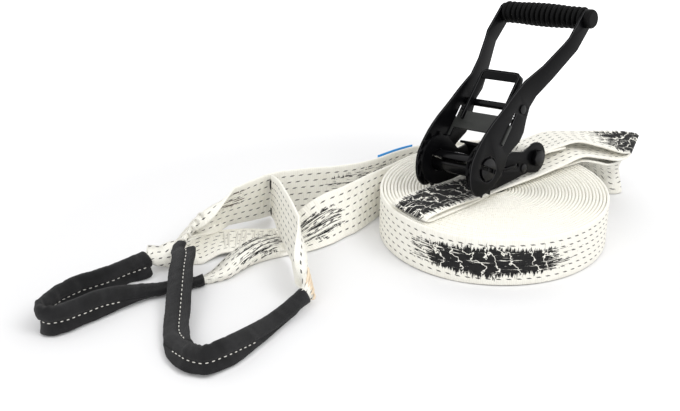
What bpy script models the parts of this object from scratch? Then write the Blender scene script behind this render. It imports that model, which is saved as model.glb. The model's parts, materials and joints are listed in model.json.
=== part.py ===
"""A slackline set as it lies on a table: a wound main line, a ratchet strap and a long lever ratchet.

Metres, +Z up. The origin is the middle of the roll's underside. +X and +Y are level.
"""
from math import asin, ceil, cos, pi, radians, sin, sqrt

import bmesh
import bpy
import numpy as np
from mathutils import Matrix, Vector

for old_object in list(bpy.data.objects):
    bpy.data.objects.remove(old_object, do_unlink=True)

# Clearances that all pieces share
GAP = 0.0003
CUT_OVERRUN = 0.004
SLOT_CLEARANCE = 0.0006
EAR_CLEARANCE = 0.0001

# Webbing
WEBBING_WIDTH = 0.050
WEBBING_THICKNESS = 0.0028
SLEEVE_THICKNESS = 0.0085
SLEEVE_WIDTH = 0.026
STEP_LENGTH = 0.013

# Roll of main line
ROLL_RADIUS = 0.1176
ROLL_TURNS = 21
ROLL_PITCH = 0.0034
POINTS_PER_TURN = 24
ROLL_EXIT_ANGLE = radians(138.5)
CORE_SIDES = 48

# Ratchet as a whole: where it stands on the roll, and how its pieces lie side by side
RATCHET_X_SHARE = -0.322
RATCHET_Y_SHARE = -0.141
RATCHET_AZIMUTH = radians(-44.8)
RATCHET_TILT = radians(7.6)
FRAME_ANGLE = radians(-6.0)
HANDLE_ANGLE = radians(37.7)
FRAME_INSIDE_HALF = 0.0280
PLATE_THICKNESS = 0.0025
WHEEL_THICKNESS = 0.0024

# Spool and ratchet wheels
SPOOL_RADIUS = 0.0110
SPOOL_SLOT = 0.0046
SPOOL_SLOT_ANGLE = radians(-30.0)
SPOOL_OVERHANG = 0.0012
WHEEL_TEETH = 14
WHEEL_RADIUS = 0.0290
WHEEL_ROOT_RADIUS = 0.0245
BUSH_RADIUS = 0.0129
BUSH_THICKNESS = 0.0012
SPOOL_PIN_RADIUS = 0.0009
SPOOL_PIN_HALF_LENGTH = 0.0126

# Frame of the ratchet, the short half
FRAME_REACH = 0.0860
FRAME_DROP = 0.0045
FRAME_HEAD_RADIUS = 0.0254
FRAME_LOBE_RADIUS = 0.0160
FRAME_SLOT_INSET = 0.0290
LOCK_PAWL_DROP = 0.0070
LOCK_PAWL_THICKNESS = 0.0030
LOCK_PAWL_CLEARANCE = 0.0005
LOCK_PAWL_EAR_LENGTH = 0.0055
LOCK_PAWL_BACK_INSET = 0.0355
LOCK_TONGUE_HALF_WIDTH = 0.0150
LOCK_TONGUE_THICKNESS = 0.0026
LOCK_FLANGE_DEPTH = 0.0062
LOCK_FLANGE_THICKNESS = 0.0018
TIE_ROD_INSET = 0.0210
TIE_ROD_DROP = 0.0118
TIE_ROD_RADIUS = 0.0028

# Anchor bolt, with the tube that the strap's eye goes round
BOLT_RADIUS = 0.0050
BOLT_HEAD_RADIUS = 0.0088
BOLT_HEAD_THICKNESS = 0.0052
BOLT_THREAD_SHOWN = 0.0022
SPACER_RADIUS = 0.0075
EYE_OPENING_ANGLE = radians(52.0)
EYE_NECK = 0.0200
EYE_SEWN_LENGTH = 0.0500
EYE_TAIL_LENGTH = 0.0620
EYE_POINTS = 12

# Handle, the long half
HANDLE_REACH = 0.1930
HANDLE_HEAD_SHARE = 0.1556
HANDLE_SPREAD_WIDTH = 0.0176
HANDLE_HOLE_RADIUS = 0.0132
CROSS_ROD_REACH = 0.0750
CROSS_ROD_RADIUS = 0.0038
RIVET_HEAD_RADIUS = 0.0046
RIVET_HEAD_THICKNESS = 0.0008
GRIP_OFFSET = 0.0030
GRIP_RADIUS = 0.0102
GRIP_GROOVE = 0.0013
GRIP_RIBS = 16
GRIP_SIDES = 16
GRIP_ROD_RADIUS = 0.0042
GRIP_CAP_THICKNESS = 0.0068
GRIP_CAP_EDGE = 0.0018

# Drive pawl and its pull, which slide in the handle along a line a little off its middle
PAWL_ANGLE = radians(8.0)
PAWL_DROP = 0.0035
PAWL_THICKNESS = 0.0030
PAWL_CLEARANCE = 0.0007
PAWL_EAR_END = 0.0520
PAWL_BRIDGE_START = 0.0400
PAWL_BRIDGE_END = 0.0600
PAWL_SLOT_END = 0.0660
PAWL_EAR_OVERHANG = 0.0014
PULL_REACH = 0.1085
PULL_HALF_WIDTH = 0.0250
PULL_THICKNESS = 0.0026
PULL_LOW = -0.0028
PULL_HIGH = 0.0056
PULL_CORNER = 0.0060
PAWL_FLANGE_DEPTH = 0.0085
PAWL_FLANGE_THICKNESS = 0.0018
PAWL_FLANGE_HALF = 0.0027

# Springs behind both pawls
SPRING_RADIUS = 0.0021
SPRING_WIRE_RADIUS = 0.0004
SPRING_TURNS = 3.5
SPRING_POINTS = 8
SPRING_STEPS_PER_TURN = 12
DRIVE_SPRING_PLACE = 0.0292
DRIVE_SPRING_DROP = 0.0058
LOCK_SPRING_PLACE = 0.0215

# Label sewn to the ratchet strap
LABEL_THICKNESS = 0.0008
LABEL_WIDTH = 0.0150
LABEL_PROUD = 0.0015

# Sizes worked out from the others: half widths of the stack of plates, and places along the frame
FRAME_OUTSIDE = FRAME_INSIDE_HALF + PLATE_THICKNESS
WHEEL_INSIDE = FRAME_OUTSIDE + GAP
WHEEL_OUTSIDE = WHEEL_INSIDE + WHEEL_THICKNESS
HANDLE_INSIDE = WHEEL_OUTSIDE + GAP
HANDLE_OUTSIDE = HANDLE_INSIDE + PLATE_THICKNESS
TIE_ROD_REACH = FRAME_REACH - TIE_ROD_INSET
FRAME_SLOT_END = FRAME_REACH - FRAME_SLOT_INSET
LOCK_PAWL_BACK = FRAME_REACH - LOCK_PAWL_BACK_INSET
LOCK_PAWL_TIP = WHEEL_RADIUS + LOCK_PAWL_CLEARANCE
LOCK_PAWL_SHOULDER = LOCK_PAWL_TIP + LOCK_PAWL_EAR_LENGTH
FRAME_SLOT_START = LOCK_PAWL_TIP - SLOT_CLEARANCE
PAWL_TIP = WHEEL_RADIUS + PAWL_CLEARANCE
RATCHET_REST_HEIGHT = (WEBBING_WIDTH + GAP + HANDLE_REACH * HANDLE_HEAD_SHARE * cos(RATCHET_TILT)
                       + HANDLE_OUTSIDE * sin(RATCHET_TILT))


def material(name, colour, roughness, metallic=0.0):
    finish = bpy.data.materials.new(name)
    finish.use_nodes = True
    shader = finish.node_tree.nodes["Principled BSDF"]
    shader.inputs["Base Color"].default_value = (*colour, 1.0)
    shader.inputs["Roughness"].default_value = roughness
    shader.inputs["Metallic"].default_value = metallic
    finish.diffuse_color = (*colour, 1.0)
    return finish


WEBBING = material("ivory_webbing", (0.80, 0.78, 0.70), 0.85)
SLEEVE = material("black_sleeve_cloth", (0.020, 0.020, 0.021), 0.9)
STEEL = material("black_painted_steel", (0.012, 0.012, 0.013), 0.38)
RUBBER = material("black_grip_rubber", (0.014, 0.014, 0.015), 0.6)
LABEL = material("blue_label_cloth", (0.03, 0.18, 0.62), 0.8)


def add_object(name, mesh, finish, parent=None, smooth=False):
    """Puts a mesh in the scene under its node's name."""
    piece = bpy.data.objects.new(name, mesh)
    bpy.context.scene.collection.objects.link(piece)
    mesh.materials.append(finish)
    if smooth:
        mesh.shade_smooth()
        mesh.set_sharp_from_angle(angle=radians(40))
    if parent is not None:
        piece.parent = parent
    return piece


def add_empty(name, location, rotation, parent=None):
    """An empty that pieces hang from, with its origin on their axis."""
    empty = bpy.data.objects.new(name, None)
    bpy.context.scene.collection.objects.link(empty)
    empty.location = location
    empty.rotation_euler = rotation
    if parent is not None:
        empty.parent = parent
    return empty


def mesh_from(name, build):
    """A mesh from a function that fills a bmesh, with its faces turned outward."""
    shape = bmesh.new()
    build(shape)
    bmesh.ops.recalc_face_normals(shape, faces=shape.faces)
    mesh = bpy.data.meshes.new(name)
    shape.to_mesh(mesh)
    shape.free()
    return mesh


def bridge_rings(shape, rings, closed=False):
    """Joins rings of vertices with quads and caps the two ends."""
    count = len(rings[0])
    pairs = list(zip(rings, rings[1:]))
    if closed:
        pairs.append((rings[-1], rings[0]))
    for first, second in pairs:
        for index in range(count):
            after = (index + 1) % count
            shape.faces.new((first[index], first[after], second[after], second[index]))
    if not closed:
        shape.faces.new(rings[0])
        shape.faces.new(rings[-1])


def prism(outline, start, end, axis="X"):
    """An outline pushed from one height to another. The outline is in the two other axes."""
    def place(point, height):
        if axis == "X":
            return Vector((height, point[0], point[1]))
        return Vector((point[0], point[1], height))

    def build(shape):
        rings = [[shape.verts.new(place(point, height)) for point in outline] for height in (start, end)]
        bridge_rings(shape, rings)
    return mesh_from("prism", build)


def turned(profile, sides, bored=False):
    """A profile of (place along X, radius) turned about the X axis. A bored one is a closed ring."""
    def build(shape):
        rings = []
        for place, radius in profile:
            angles = [2 * pi * index / sides for index in range(sides)]
            rings.append([shape.verts.new((place, radius * cos(a), radius * sin(a))) for a in angles])
        bridge_rings(shape, rings, closed=bored)
    return mesh_from("turned", build)


def moved(mesh, offset=(0, 0, 0), turn=0.0):
    """Turns a mesh about the X axis and then moves it."""
    mesh.transform(Matrix.Translation(offset) @ Matrix.Rotation(turn, 4, "X"))
    return mesh


def upright(mesh, place):
    """Turns a bar from along X to along Z, and moves it along X."""
    mesh.transform(Matrix.Translation((place, 0, 0)) @ Matrix.Rotation(pi / 2, 4, "Y"))
    return mesh


def arc(centre, radius, start, end, count):
    """Points on an arc, from one angle to another."""
    angles = [start + (end - start) * index / (count - 1) for index in range(count)]
    return [(centre[0] + radius * cos(a), centre[1] + radius * sin(a)) for a in angles]


def cut(piece, mesh, operation="DIFFERENCE"):
    """Takes a mesh out of a piece with an exact Boolean, or adds it, and applies it."""
    tool = bpy.data.objects.new("tool", mesh)
    bpy.context.scene.collection.objects.link(tool)
    tool.parent = piece.parent
    bpy.context.view_layer.update()
    modifier = piece.modifiers.new(operation.lower(), "BOOLEAN")
    modifier.operation = operation
    modifier.object = tool
    modifier.solver = "EXACT"
    graph = bpy.context.evaluated_depsgraph_get()
    result = bpy.data.meshes.new_from_object(piece.evaluated_get(graph))
    piece.modifiers.clear()
    piece.data = result
    bpy.data.objects.remove(tool, do_unlink=True)


def band(name, stations, thickness, finish):
    """A flat band through stations of (centre, direction across, width)."""
    def build(shape):
        rings = []
        last = len(stations) - 1
        for index, (centre, across, width) in enumerate(stations):
            before, after = stations[max(index - 1, 0)][0], stations[min(index + 1, last)][0]
            along = (after - before).normalized()
            skew = max(along.cross(across).length, 0.7)
            normal = along.cross(across).normalized()
            half, lift = across * (width / 2 / skew), normal * (thickness / 2)
            corners = (centre - half - lift, centre + half - lift, centre + half + lift, centre - half + lift)
            sunk = Vector((0, 0, min(0, *(corner.z for corner in corners))))
            rings.append([shape.verts.new(corner - sunk) for corner in corners])
        bridge_rings(shape, rings)
    return add_object(name, mesh_from(name, build), finish)


def route_station(values, thickness):
    """A hand-set row of shares and angles as (centre, direction across, width).

    The row holds x and y as shares of the roll's radius, the layers beneath it, its rise as a share
    of the webbing's width, the azimuth and the lean of its width, and its width share.
    """
    x_share, y_share, layers, rise_share, azimuth, lean, width_share = values
    width = WEBBING_WIDTH * width_share
    azimuth, lean = radians(azimuth), radians(lean)
    lowest = GAP + layers * (WEBBING_THICKNESS + GAP) + rise_share * WEBBING_WIDTH
    height = lowest + width / 2 * abs(sin(lean)) + thickness / 2 * abs(cos(lean))
    centre = Vector((x_share * ROLL_RADIUS, y_share * ROLL_RADIUS, height))
    across = Vector((cos(lean) * cos(azimuth), cos(lean) * sin(azimuth), sin(lean)))
    return centre, across, width


def mix(first, second, start, end, at):
    return first * ((end - at) / (end - start)) + second * ((at - start) / (end - start))


def smooth_route(stations):
    """A centripetal curve through stations. Also gives the place of each station along it."""
    rows = np.array([[*centre, *across, width] for centre, across, width in stations])
    padded = np.vstack([2 * rows[0] - rows[1], rows, 2 * rows[-1] - rows[-2]])
    path, marks = [rows[0]], [0]
    for rows_here in zip(padded, padded[1:], padded[2:], padded[3:]):
        spans = [np.linalg.norm(b[:3] - a[:3]) for a, b in zip(rows_here, rows_here[1:])]
        knots = np.concatenate([[0.0], np.cumsum(np.sqrt(spans))])
        steps = max(1, ceil(spans[1] / STEP_LENGTH))
        for step in range(1, steps + 1):
            at = knots[1] + (knots[2] - knots[1]) * step / steps
            level = [mix(rows_here[i], rows_here[i + 1], knots[i], knots[i + 1], at) for i in range(3)]
            level = [mix(level[i], level[i + 1], knots[i], knots[i + 2], at) for i in range(2)]
            path.append(mix(level[0], level[1], knots[1], knots[2], at))
        marks.append(len(path) - 1)
    return [(Vector(row[:3]), Vector(row[3:6]).normalized(), row[6]) for row in path], marks


def beyond(stations, width, lead=SLEEVE_THICKNESS):
    """Two stations straight on past a band's end, where the next band starts after a gap."""
    (before, _, _), (end, across, _) = stations[-2], stations[-1]
    onward = (end - before).normalized()
    return [(end + onward * GAP, across, width), (end + onward * (GAP + lead), across, width)]


def least_gap(stations, thickness, apart):
    """The least gap of a band to itself, between stations at least so far apart along it."""
    points = np.array([list(centre) for centre, _, _ in stations])
    steps = np.linalg.norm(np.diff(points, axis=0), axis=1)
    along = np.concatenate([[0.0], np.cumsum(steps)])
    starts, ends = points[:-1], points[1:]
    least = float("inf")
    for index, point in enumerate(points):
        far = np.abs(along[:-1] - along[index]) > apart
        far &= np.abs(along[1:] - along[index]) > apart
        if not far.any():
            continue
        run = ends[far] - starts[far]
        share = ((point - starts[far]) * run).sum(1) / (run ** 2).sum(1)
        nearest = starts[far] + run * np.clip(share, 0, 1)[:, None]
        least = min(least, np.linalg.norm(nearest - point, axis=1).min())
    return least - thickness


# Empties: the ratchet where it stands, its frame, its spool, its handle and its drive pawl
ratchet = add_empty(
    "ratchet_place", (RATCHET_X_SHARE * ROLL_RADIUS, RATCHET_Y_SHARE * ROLL_RADIUS, RATCHET_REST_HEIGHT),
    (0, -RATCHET_TILT, RATCHET_AZIMUTH))
frame = add_empty("frame_axis", (0, 0, 0), (FRAME_ANGLE, 0, 0), ratchet)
spool = add_empty("spool_axis", (0, 0, 0), (SPOOL_SLOT_ANGLE, 0, 0), ratchet)
handle = add_empty("handle_axis", (0, 0, 0), (HANDLE_ANGLE, 0, 0), ratchet)
slide = add_empty("drive_pawl_line", (0, 0, -PAWL_DROP), (PAWL_ANGLE, 0, 0), handle)
bpy.context.view_layer.update()

frame_axes = frame.matrix_world.to_3x3()
RATCHET_ACROSS = frame_axes @ Vector((1, 0, 0))
FRAME_ALONG = frame_axes @ Vector((0, 1, 0))
FRAME_UP = frame_axes @ Vector((0, 0, 1))
BOLT_CENTRE = frame.matrix_world @ Vector((0, FRAME_REACH, -FRAME_DROP))

# Roll of main line: its outer turns wind as one band round a plain core of the inner turns


def roll_station(step):
    """A station of the winding, counted inward from where the line leaves the roll."""
    angle = ROLL_EXIT_ANGLE - 2 * pi * step / POINTS_PER_TURN
    radius = ROLL_RADIUS - WEBBING_THICKNESS / 2 - ROLL_PITCH * step / POINTS_PER_TURN
    centre = Vector((radius * cos(angle), radius * sin(angle), WEBBING_WIDTH / 2))
    return centre, Vector((0, 0, 1)), WEBBING_WIDTH


roll = [roll_station(step) for step in range(ROLL_TURNS * POINTS_PER_TURN, -1, -1)]
band("main_line_roll", roll, WEBBING_THICKNESS, WEBBING)
print("roll's least gap to itself, mm:", least_gap(roll, WEBBING_THICKNESS, ROLL_RADIUS) * 1000)
inner_radius = roll[0][0].xy.length - WEBBING_THICKNESS / 2
core_radius = inner_radius * cos(pi / POINTS_PER_TURN) - GAP
core_outline = arc((0, 0), core_radius, 0, 2 * pi * (CORE_SIDES - 1) / CORE_SIDES, CORE_SIDES)
add_object("main_line_core", prism(core_outline, 0, WEBBING_WIDTH, "Z"), WEBBING)

# Main line from the roll to the left, tipping from its edge onto its face, then on into its loop
TAIL_SHARES = (
    (-0.884, 0.502, 0, 0.000, 138, 87, 1),
    (-1.093, 0.247, 0, 0.000, 136, 76, 1),
    (-1.259, 0.051, 0, 0.000, 136, 66, 1),
    (-1.429, -0.068, 0, 0.000, 140, 52, 1),
    (-1.616, -0.170, 0, 0.000, 140, 22, 1),
    (-1.786, -0.245, 0, 0.000, 114, 0, 1),
    (-1.956, -0.366, 0, 0.000, 128, 0, 1),
    (-2.109, -0.527, 0, 0.000, 134, 0, 1),
    (-2.236, -0.697, 0, 0.000, 134, 0, 0.94),
    (-2.347, -0.850, 0, 0.000, 122, 0, 0.76),
    (-2.466, -0.944, 0, 0.000, 100, 0, 0.6),
)
tail_rows = beyond(roll, WEBBING_WIDTH) + [route_station(row, WEBBING_THICKNESS) for row in TAIL_SHARES]
tail, _ = smooth_route(tail_rows)
band("main_line_tail", tail, WEBBING_THICKNESS, WEBBING)

# The main line's end, which comes back out of the loop by its other branch and is sewn on top of the line
RETURN_SHARES = (
    (-1.837, -0.272, 1.9, 0.000, 100, 0, 1),
    (-1.998, -0.281, 1.6, 0.000, 92, 0, 1),
    (-2.211, -0.264, 1.4, 0.000, 90, 0, 1),
    (-2.415, -0.293, 1.1, 0.000, 105, 0, 1),
    (-2.577, -0.400, 0.4, 0.000, 125, 1, 1),
    (-2.704, -0.536, 0, 0.000, 135, 10, 0.82),
    (-2.819, -0.660, 0, 0.000, 138, 30, 0.66),
    (-2.922, -0.780, 0, 0.000, 140, 50, 0.56),
)
main_return, _ = smooth_route([route_station(row, WEBBING_THICKNESS) for row in RETURN_SHARES])
band("main_line_loop_end", main_return, WEBBING_THICKNESS, WEBBING)

# Black sleeve round the folded webbing of the main line's loop
MAIN_SLEEVE_SHARES = (
    (-2.636, -1.040, 0, 0.000, 115, 6, 0.6),
    (-2.765, -1.112, 0, 0.000, 118, 10, 0.6),
    (-2.912, -1.190, 0, 0.000, 122, 30, 0.62),
    (-3.066, -1.315, 0, 0.000, 130, 52, 0.8),
    (-3.216, -1.475, 0, 0.000, 134, 66, 1),
    (-3.340, -1.590, 0, 0.000, 130, 68, 1),
    (-3.460, -1.705, 0, 0.000, 122, 68, 1.04),
    (-3.545, -1.750, 0, 0.000, 95, 76, 1.08),
    (-3.616, -1.722, 0, 0.000, 40, 86, 1.08),
    (-3.637, -1.628, 0, 0.000, 5, 90, 1.08),
    (-3.604, -1.515, 0, 0.000, -25, 94, 1.04),
    (-3.540, -1.360, 0, 0.000, -38, 95, 1),
    (-3.440, -1.236, 0, 0.000, -47, 95, 1),
    (-3.320, -1.150, 0, 0.000, -52, 96, 1),
    (-3.200, -1.060, 0, 0.000, -50, 98, 1),
    (-3.060, -0.925, 0, 0.000, -46, 100, 1),
)


def sleeve_route(shares, start_band, end_band):
    """A sleeve's stations, from the end of one band to the end of another."""
    rows = [route_station(row[:6] + (row[6] * SLEEVE_WIDTH / WEBBING_WIDTH,), SLEEVE_THICKNESS) for row in shares]
    joined = []
    for neighbouring_band, neighbour in ((start_band, rows[0]), (end_band, rows[-1])):
        joined.append([(centre, across if across.dot(neighbour[1]) > 0 else -across, width)
                       for centre, across, width in beyond(neighbouring_band, neighbour[2])])
    return smooth_route(joined[0] + rows + joined[1][::-1])[0]


band("main_loop_sleeve", sleeve_route(MAIN_SLEEVE_SHARES, tail, main_return), SLEEVE_THICKNESS, SLEEVE)

# Ratchet strap: the eye round the anchor tube, then three layers folded over the roll
PILE_SHARES = (
    (0.714, 0.791, 0, 1.306, -50, 5, 1),
    (0.952, 0.833, 0, 1.268, -62, 0, 1),
    (1.190, 0.799, 0, 1.180, -80, -6, 1),
    (1.335, 0.825, 0, 1.135, -100, -6, 1),
    (1.412, 0.850, 0, 1.090, -112, -4, 1),
    (1.335, 0.825, 0, 1.030, -100, -3, 1),
    (1.190, 0.765, 0, 1.030, -84, -3, 1),
    (0.952, 0.740, 0, 1.086, -62, 0, 1),
    (0.748, 0.655, 0, 1.186, -53, 0, 1),
    (0.510, 0.485, 0, 1.126, -52, 0, 1),
    (0.255, 0.289, 0, 1.090, -52, 0, 1),
    (-0.043, 0.060, 0, 1.080, -52, 0, 1),
    (-0.298, -0.153, 0, 1.092, -52, 0, 1),
    (-0.527, -0.340, 0, 1.116, -52, 0, 1),
    (-0.697, -0.493, 0, 1.112, -51, 0, 1),
    (-0.744, -0.536, 0, 1.098, -51, 0, 1),
    (-0.774, -0.565, 0, 1.054, -51, 0, 1),
    (-0.744, -0.536, 0, 1.014, -51, 0, 1),
    (-0.553, -0.366, 0, 1.003, -52, 0, 1),
    (-0.272, -0.102, 0, 1.000, -52, 0, 1),
    (-0.077, 0.111, 0, 1.000, -52, 0, 1),
    (0.221, 0.366, 0, 1.000, -52, 0, 1),
    (0.425, 0.519, 0, 1.000, -52, 0, 1),
    (0.629, 0.646, 0, 1.000, -55, 0, 1),
    (0.782, 0.714, 0, 1.004, -62, 2, 1),
)
# Then over the roll's edge, round behind the roll on its edge, and into the loop's left leg
RUN_SHARES = (
    (0.952, 0.748, 0, 0.740, -72, 14, 1),
    (1.105, 0.736, 0, 0.350, -80, 36, 1),
    (1.224, 0.748, 0, 0.020, -50, 70, 1),
    (1.284, 0.825, 0, 0.000, -10, 102, 1),
    (1.241, 0.927, 0, 0.000, 25, 108, 1),
    (1.131, 1.012, 0, 0.000, 50, 104, 1),
    (0.952, 1.071, 0, 0.000, 68, 98, 1),
    (0.748, 1.105, 0, 0.000, 80, 94, 1),
    (0.468, 1.114, 0, 0.000, 88, 90, 1),
    (0.128, 1.110, 0, 0.000, 92, 90, 1),
    (-0.170, 1.088, 0, 0.000, 97, 90, 1),
    (-0.425, 1.033, 0, 0.000, 105, 90, 1),
    (-0.655, 0.948, 0, 0.000, 115, 90, 1),
    (-0.833, 0.825, 0, 0.000, 126, 90, 1),
    (-0.986, 0.689, 0, 0.000, 131, 90, 1),
    (-1.165, 0.570, 0, 0.000, 122, 90, 1),
    (-1.352, 0.502, 0, 0.000, 110, 90, 1),
    (-1.531, 0.463, 0, 0.000, 102, 90, 1),
    (-1.709, 0.425, 0, 0.000, 102, 90, 1),
    (-1.871, 0.366, 0, 0.010, 110, 90, 1),
    (-1.998, 0.281, 0, 0.030, 124, 90, 1),
    (-2.109, 0.174, 0, 0.050, 136, 95, 1),
    (-2.228, 0.060, 0, 0.085, 133, 102, 1),
    (-2.364, -0.058, 0, 0.135, 131, 108, 0.94),
    (-2.490, -0.180, 0, 0.165, 134, 113, 0.84),
    (-2.585, -0.310, 0, 0.200, 146, 119, 0.72),
    (-2.650, -0.445, 0, 0.235, 160, 128, 0.6),
    (-2.664, -0.600, 0, 0.285, 172, 142, 0.5),
)


def eye_stations():
    """The strap's sewn eye: in under the anchor tube, round it, and out on top."""
    layer = WEBBING_THICKNESS / 2 + GAP
    radius = SPACER_RADIUS + GAP + WEBBING_THICKNESS / 2

    def at(along, up):
        return BOLT_CENTRE + FRAME_ALONG * along + FRAME_UP * up, RATCHET_ACROSS, WEBBING_WIDTH
    turn = arc((0, 0), radius, -EYE_OPENING_ANGLE, EYE_OPENING_ANGLE - 2 * pi, EYE_POINTS)
    return ([at(EYE_TAIL_LENGTH, -layer), at(EYE_NECK, -layer)] + [at(*point) for point in turn]
            + [at(EYE_NECK, layer), at(EYE_SEWN_LENGTH, layer)])


eye = eye_stations()
pile_rows = [route_station(row, WEBBING_THICKNESS) for row in PILE_SHARES]
run_rows = [route_station(row, WEBBING_THICKNESS) for row in RUN_SHARES]
strap, strap_marks = smooth_route(eye + pile_rows + run_rows)
pile_end = strap_marks[len(eye) + len(pile_rows) - 1]
pile = strap[:pile_end + 1]
run = beyond(pile, WEBBING_WIDTH, WEBBING_THICKNESS) + strap[pile_end + 1:]
band("ratchet_strap_pile", pile, WEBBING_THICKNESS, WEBBING)
band("ratchet_strap_run", run, WEBBING_THICKNESS, WEBBING)

# The strap's end, which is the loop's right leg and is sewn at the top of the loop
RIGHT_LEG_SHARES = (
    (-1.963, 0.251, 0, 0.040, -150, 90, 1),
    (-1.930, 0.136, 0, 0.110, -160, 92, 1),
    (-1.895, -0.043, 2, 0.092, -165, 95, 1),
    (-1.842, -0.255, 2, 0.098, -163, 98, 1),
    (-1.777, -0.476, 2, 0.062, -162, 99, 1),
    (-1.703, -0.697, 0, 0.090, -163, 98, 0.96),
    (-1.650, -0.901, 0, 0.060, -169, 93, 0.9),
    (-1.620, -1.080, 0, 0.050, 179, 87, 0.8),
    (-1.605, -1.230, 0, 0.060, 170, 77, 0.66),
    (-1.607, -1.310, 0, 0.070, 166, 70, 0.56),
)
right_leg, _ = smooth_route([route_station(row, WEBBING_THICKNESS) for row in RIGHT_LEG_SHARES])
band("ratchet_strap_loop_end", right_leg, WEBBING_THICKNESS, WEBBING)

# Black sleeve round the folded webbing of the ratchet strap's loop
RATCHET_SLEEVE_SHARES = (
    (-2.638, -0.799, 0, 0.300, 0, 24, 1),
    (-2.630, -1.003, 0, 0.270, 0, 22, 1),
    (-2.619, -1.233, 0, 0.200, 0, 22, 1),
    (-2.602, -1.531, 0, 0.060, 0, 22, 1),
    (-2.581, -1.811, 0, 0.000, 0, 24, 1),
    (-2.534, -2.058, 0, 0.000, 15, 30, 1),
    (-2.440, -2.219, 0, 0.000, 42, 44, 1),
    (-2.321, -2.270, 0, 0.000, 90, 58, 1),
    (-2.168, -2.168, 0, 0.000, 132, 62, 1),
    (-2.024, -1.964, 0, 0.000, 146, 58, 0.84),
    (-1.888, -1.735, 0, 0.000, 150, 50, 0.66),
    (-1.774, -1.570, 0, 0.040, 150, 44, 0.6),
    (-1.682, -1.440, 0, 0.080, 156, 54, 0.6),
)
band("ratchet_loop_sleeve", sleeve_route(RATCHET_SLEEVE_SHARES, run, right_leg), SLEEVE_THICKNESS, SLEEVE)

# Blank blue label, sewn along the strap's top edge on the side away from the roll
LABEL_FIRST_ROW = 12
LABEL_LAST_ROW = 14


def label_stations():
    first = strap_marks[len(eye) + len(pile_rows) + LABEL_FIRST_ROW]
    last = strap_marks[len(eye) + len(pile_rows) + LABEL_LAST_ROW]
    stations = []
    for index in range(first, last + 1):
        centre, across, width = strap[index]
        along = (strap[index + 1][0] - strap[index - 1][0]).normalized()
        outward = across.cross(along).normalized()
        away = WEBBING_THICKNESS / 2 + GAP + LABEL_THICKNESS / 2
        rise = width / 2 + LABEL_PROUD - LABEL_WIDTH / 2
        stations.append((centre - outward * away + across * rise, across, LABEL_WIDTH))
    return stations


band("strap_label", label_stations(), LABEL_THICKNESS, LABEL)


def block(x_range, y_range, z_range):
    """A box from its three ranges."""
    (y_start, y_end), (z_start, z_end) = y_range, z_range
    outline = [(y_start, z_start), (y_end, z_start), (y_end, z_end), (y_start, z_end)]
    return prism(outline, *x_range)


def rod(radius, start, end, sides=24):
    """A round bar along X."""
    return turned([(start, radius), (end, radius)], sides)


def pick(shares, size):
    """Outline points from shares of a size."""
    return [(first * size, second * size) for first, second in shares]


def mirrored(mesh, side):
    """The near piece as it is, or the far one mirrored across the ratchet's middle."""
    if side < 0:
        mesh.transform(Matrix.Scale(-1, 4, (1, 0, 0)))
        mesh.flip_normals()
    return mesh


SIDES = (("near", 1), ("far", -1))

# Frame plates: a head round the spool, a waist, and a lobe round the anchor bolt
FRAME_BELOW_SHARES = ((0.256, -0.285), (0.535, -0.250), (0.837, -0.209))
FRAME_ABOVE_SHARES = ((0.756, 0.058), (0.547, 0.099), (0.360, 0.070))
FRAME_HEAD_ARC = (radians(47.5), radians(272.4))
FRAME_LOBE_ARC = (radians(-110), radians(125))

frame_outline = (arc((0, 0), FRAME_HEAD_RADIUS, *FRAME_HEAD_ARC, 20)
                 + pick(FRAME_BELOW_SHARES, FRAME_REACH)
                 + arc((FRAME_REACH, -FRAME_DROP), FRAME_LOBE_RADIUS, *FRAME_LOBE_ARC, 14)
                 + pick(FRAME_ABOVE_SHARES, FRAME_REACH))
bolt_place = (0, FRAME_REACH, -FRAME_DROP)
tie_place = (0, TIE_ROD_REACH, -TIE_ROD_DROP)
through = (FRAME_INSIDE_HALF - CUT_OVERRUN, FRAME_OUTSIDE + CUT_OVERRUN)
lock_half = LOCK_PAWL_THICKNESS / 2
for side_name, side in SIDES:
    plate = add_object("frame_plate_" + side_name, mirrored(
        prism(frame_outline, FRAME_INSIDE_HALF, FRAME_OUTSIDE), side), STEEL, frame)
    cut(plate, mirrored(rod(SPOOL_RADIUS + GAP + EAR_CLEARANCE, *through, 32), side))
    cut(plate, mirrored(moved(rod(BOLT_RADIUS + GAP, *through), bolt_place), side))
    cut(plate, mirrored(moved(rod(TIE_ROD_RADIUS + GAP, *through, 16), tie_place), side))
    cut(plate, mirrored(block(through, (FRAME_SLOT_START, FRAME_SLOT_END), (
        -LOCK_PAWL_DROP - lock_half - GAP, -LOCK_PAWL_DROP + lock_half + GAP)), side))

# Tie rod across the frame, with a rivet head outside each plate
rod_end = FRAME_OUTSIDE + GAP
rod_profile = [(-rod_end - RIVET_HEAD_THICKNESS, RIVET_HEAD_RADIUS), (-rod_end, RIVET_HEAD_RADIUS),
               (-rod_end, TIE_ROD_RADIUS), (rod_end, TIE_ROD_RADIUS),
               (rod_end, RIVET_HEAD_RADIUS), (rod_end + RIVET_HEAD_THICKNESS, RIVET_HEAD_RADIUS)]
add_object("frame_tie_rod", moved(turned(rod_profile, 16), tie_place), STEEL, frame)

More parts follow.
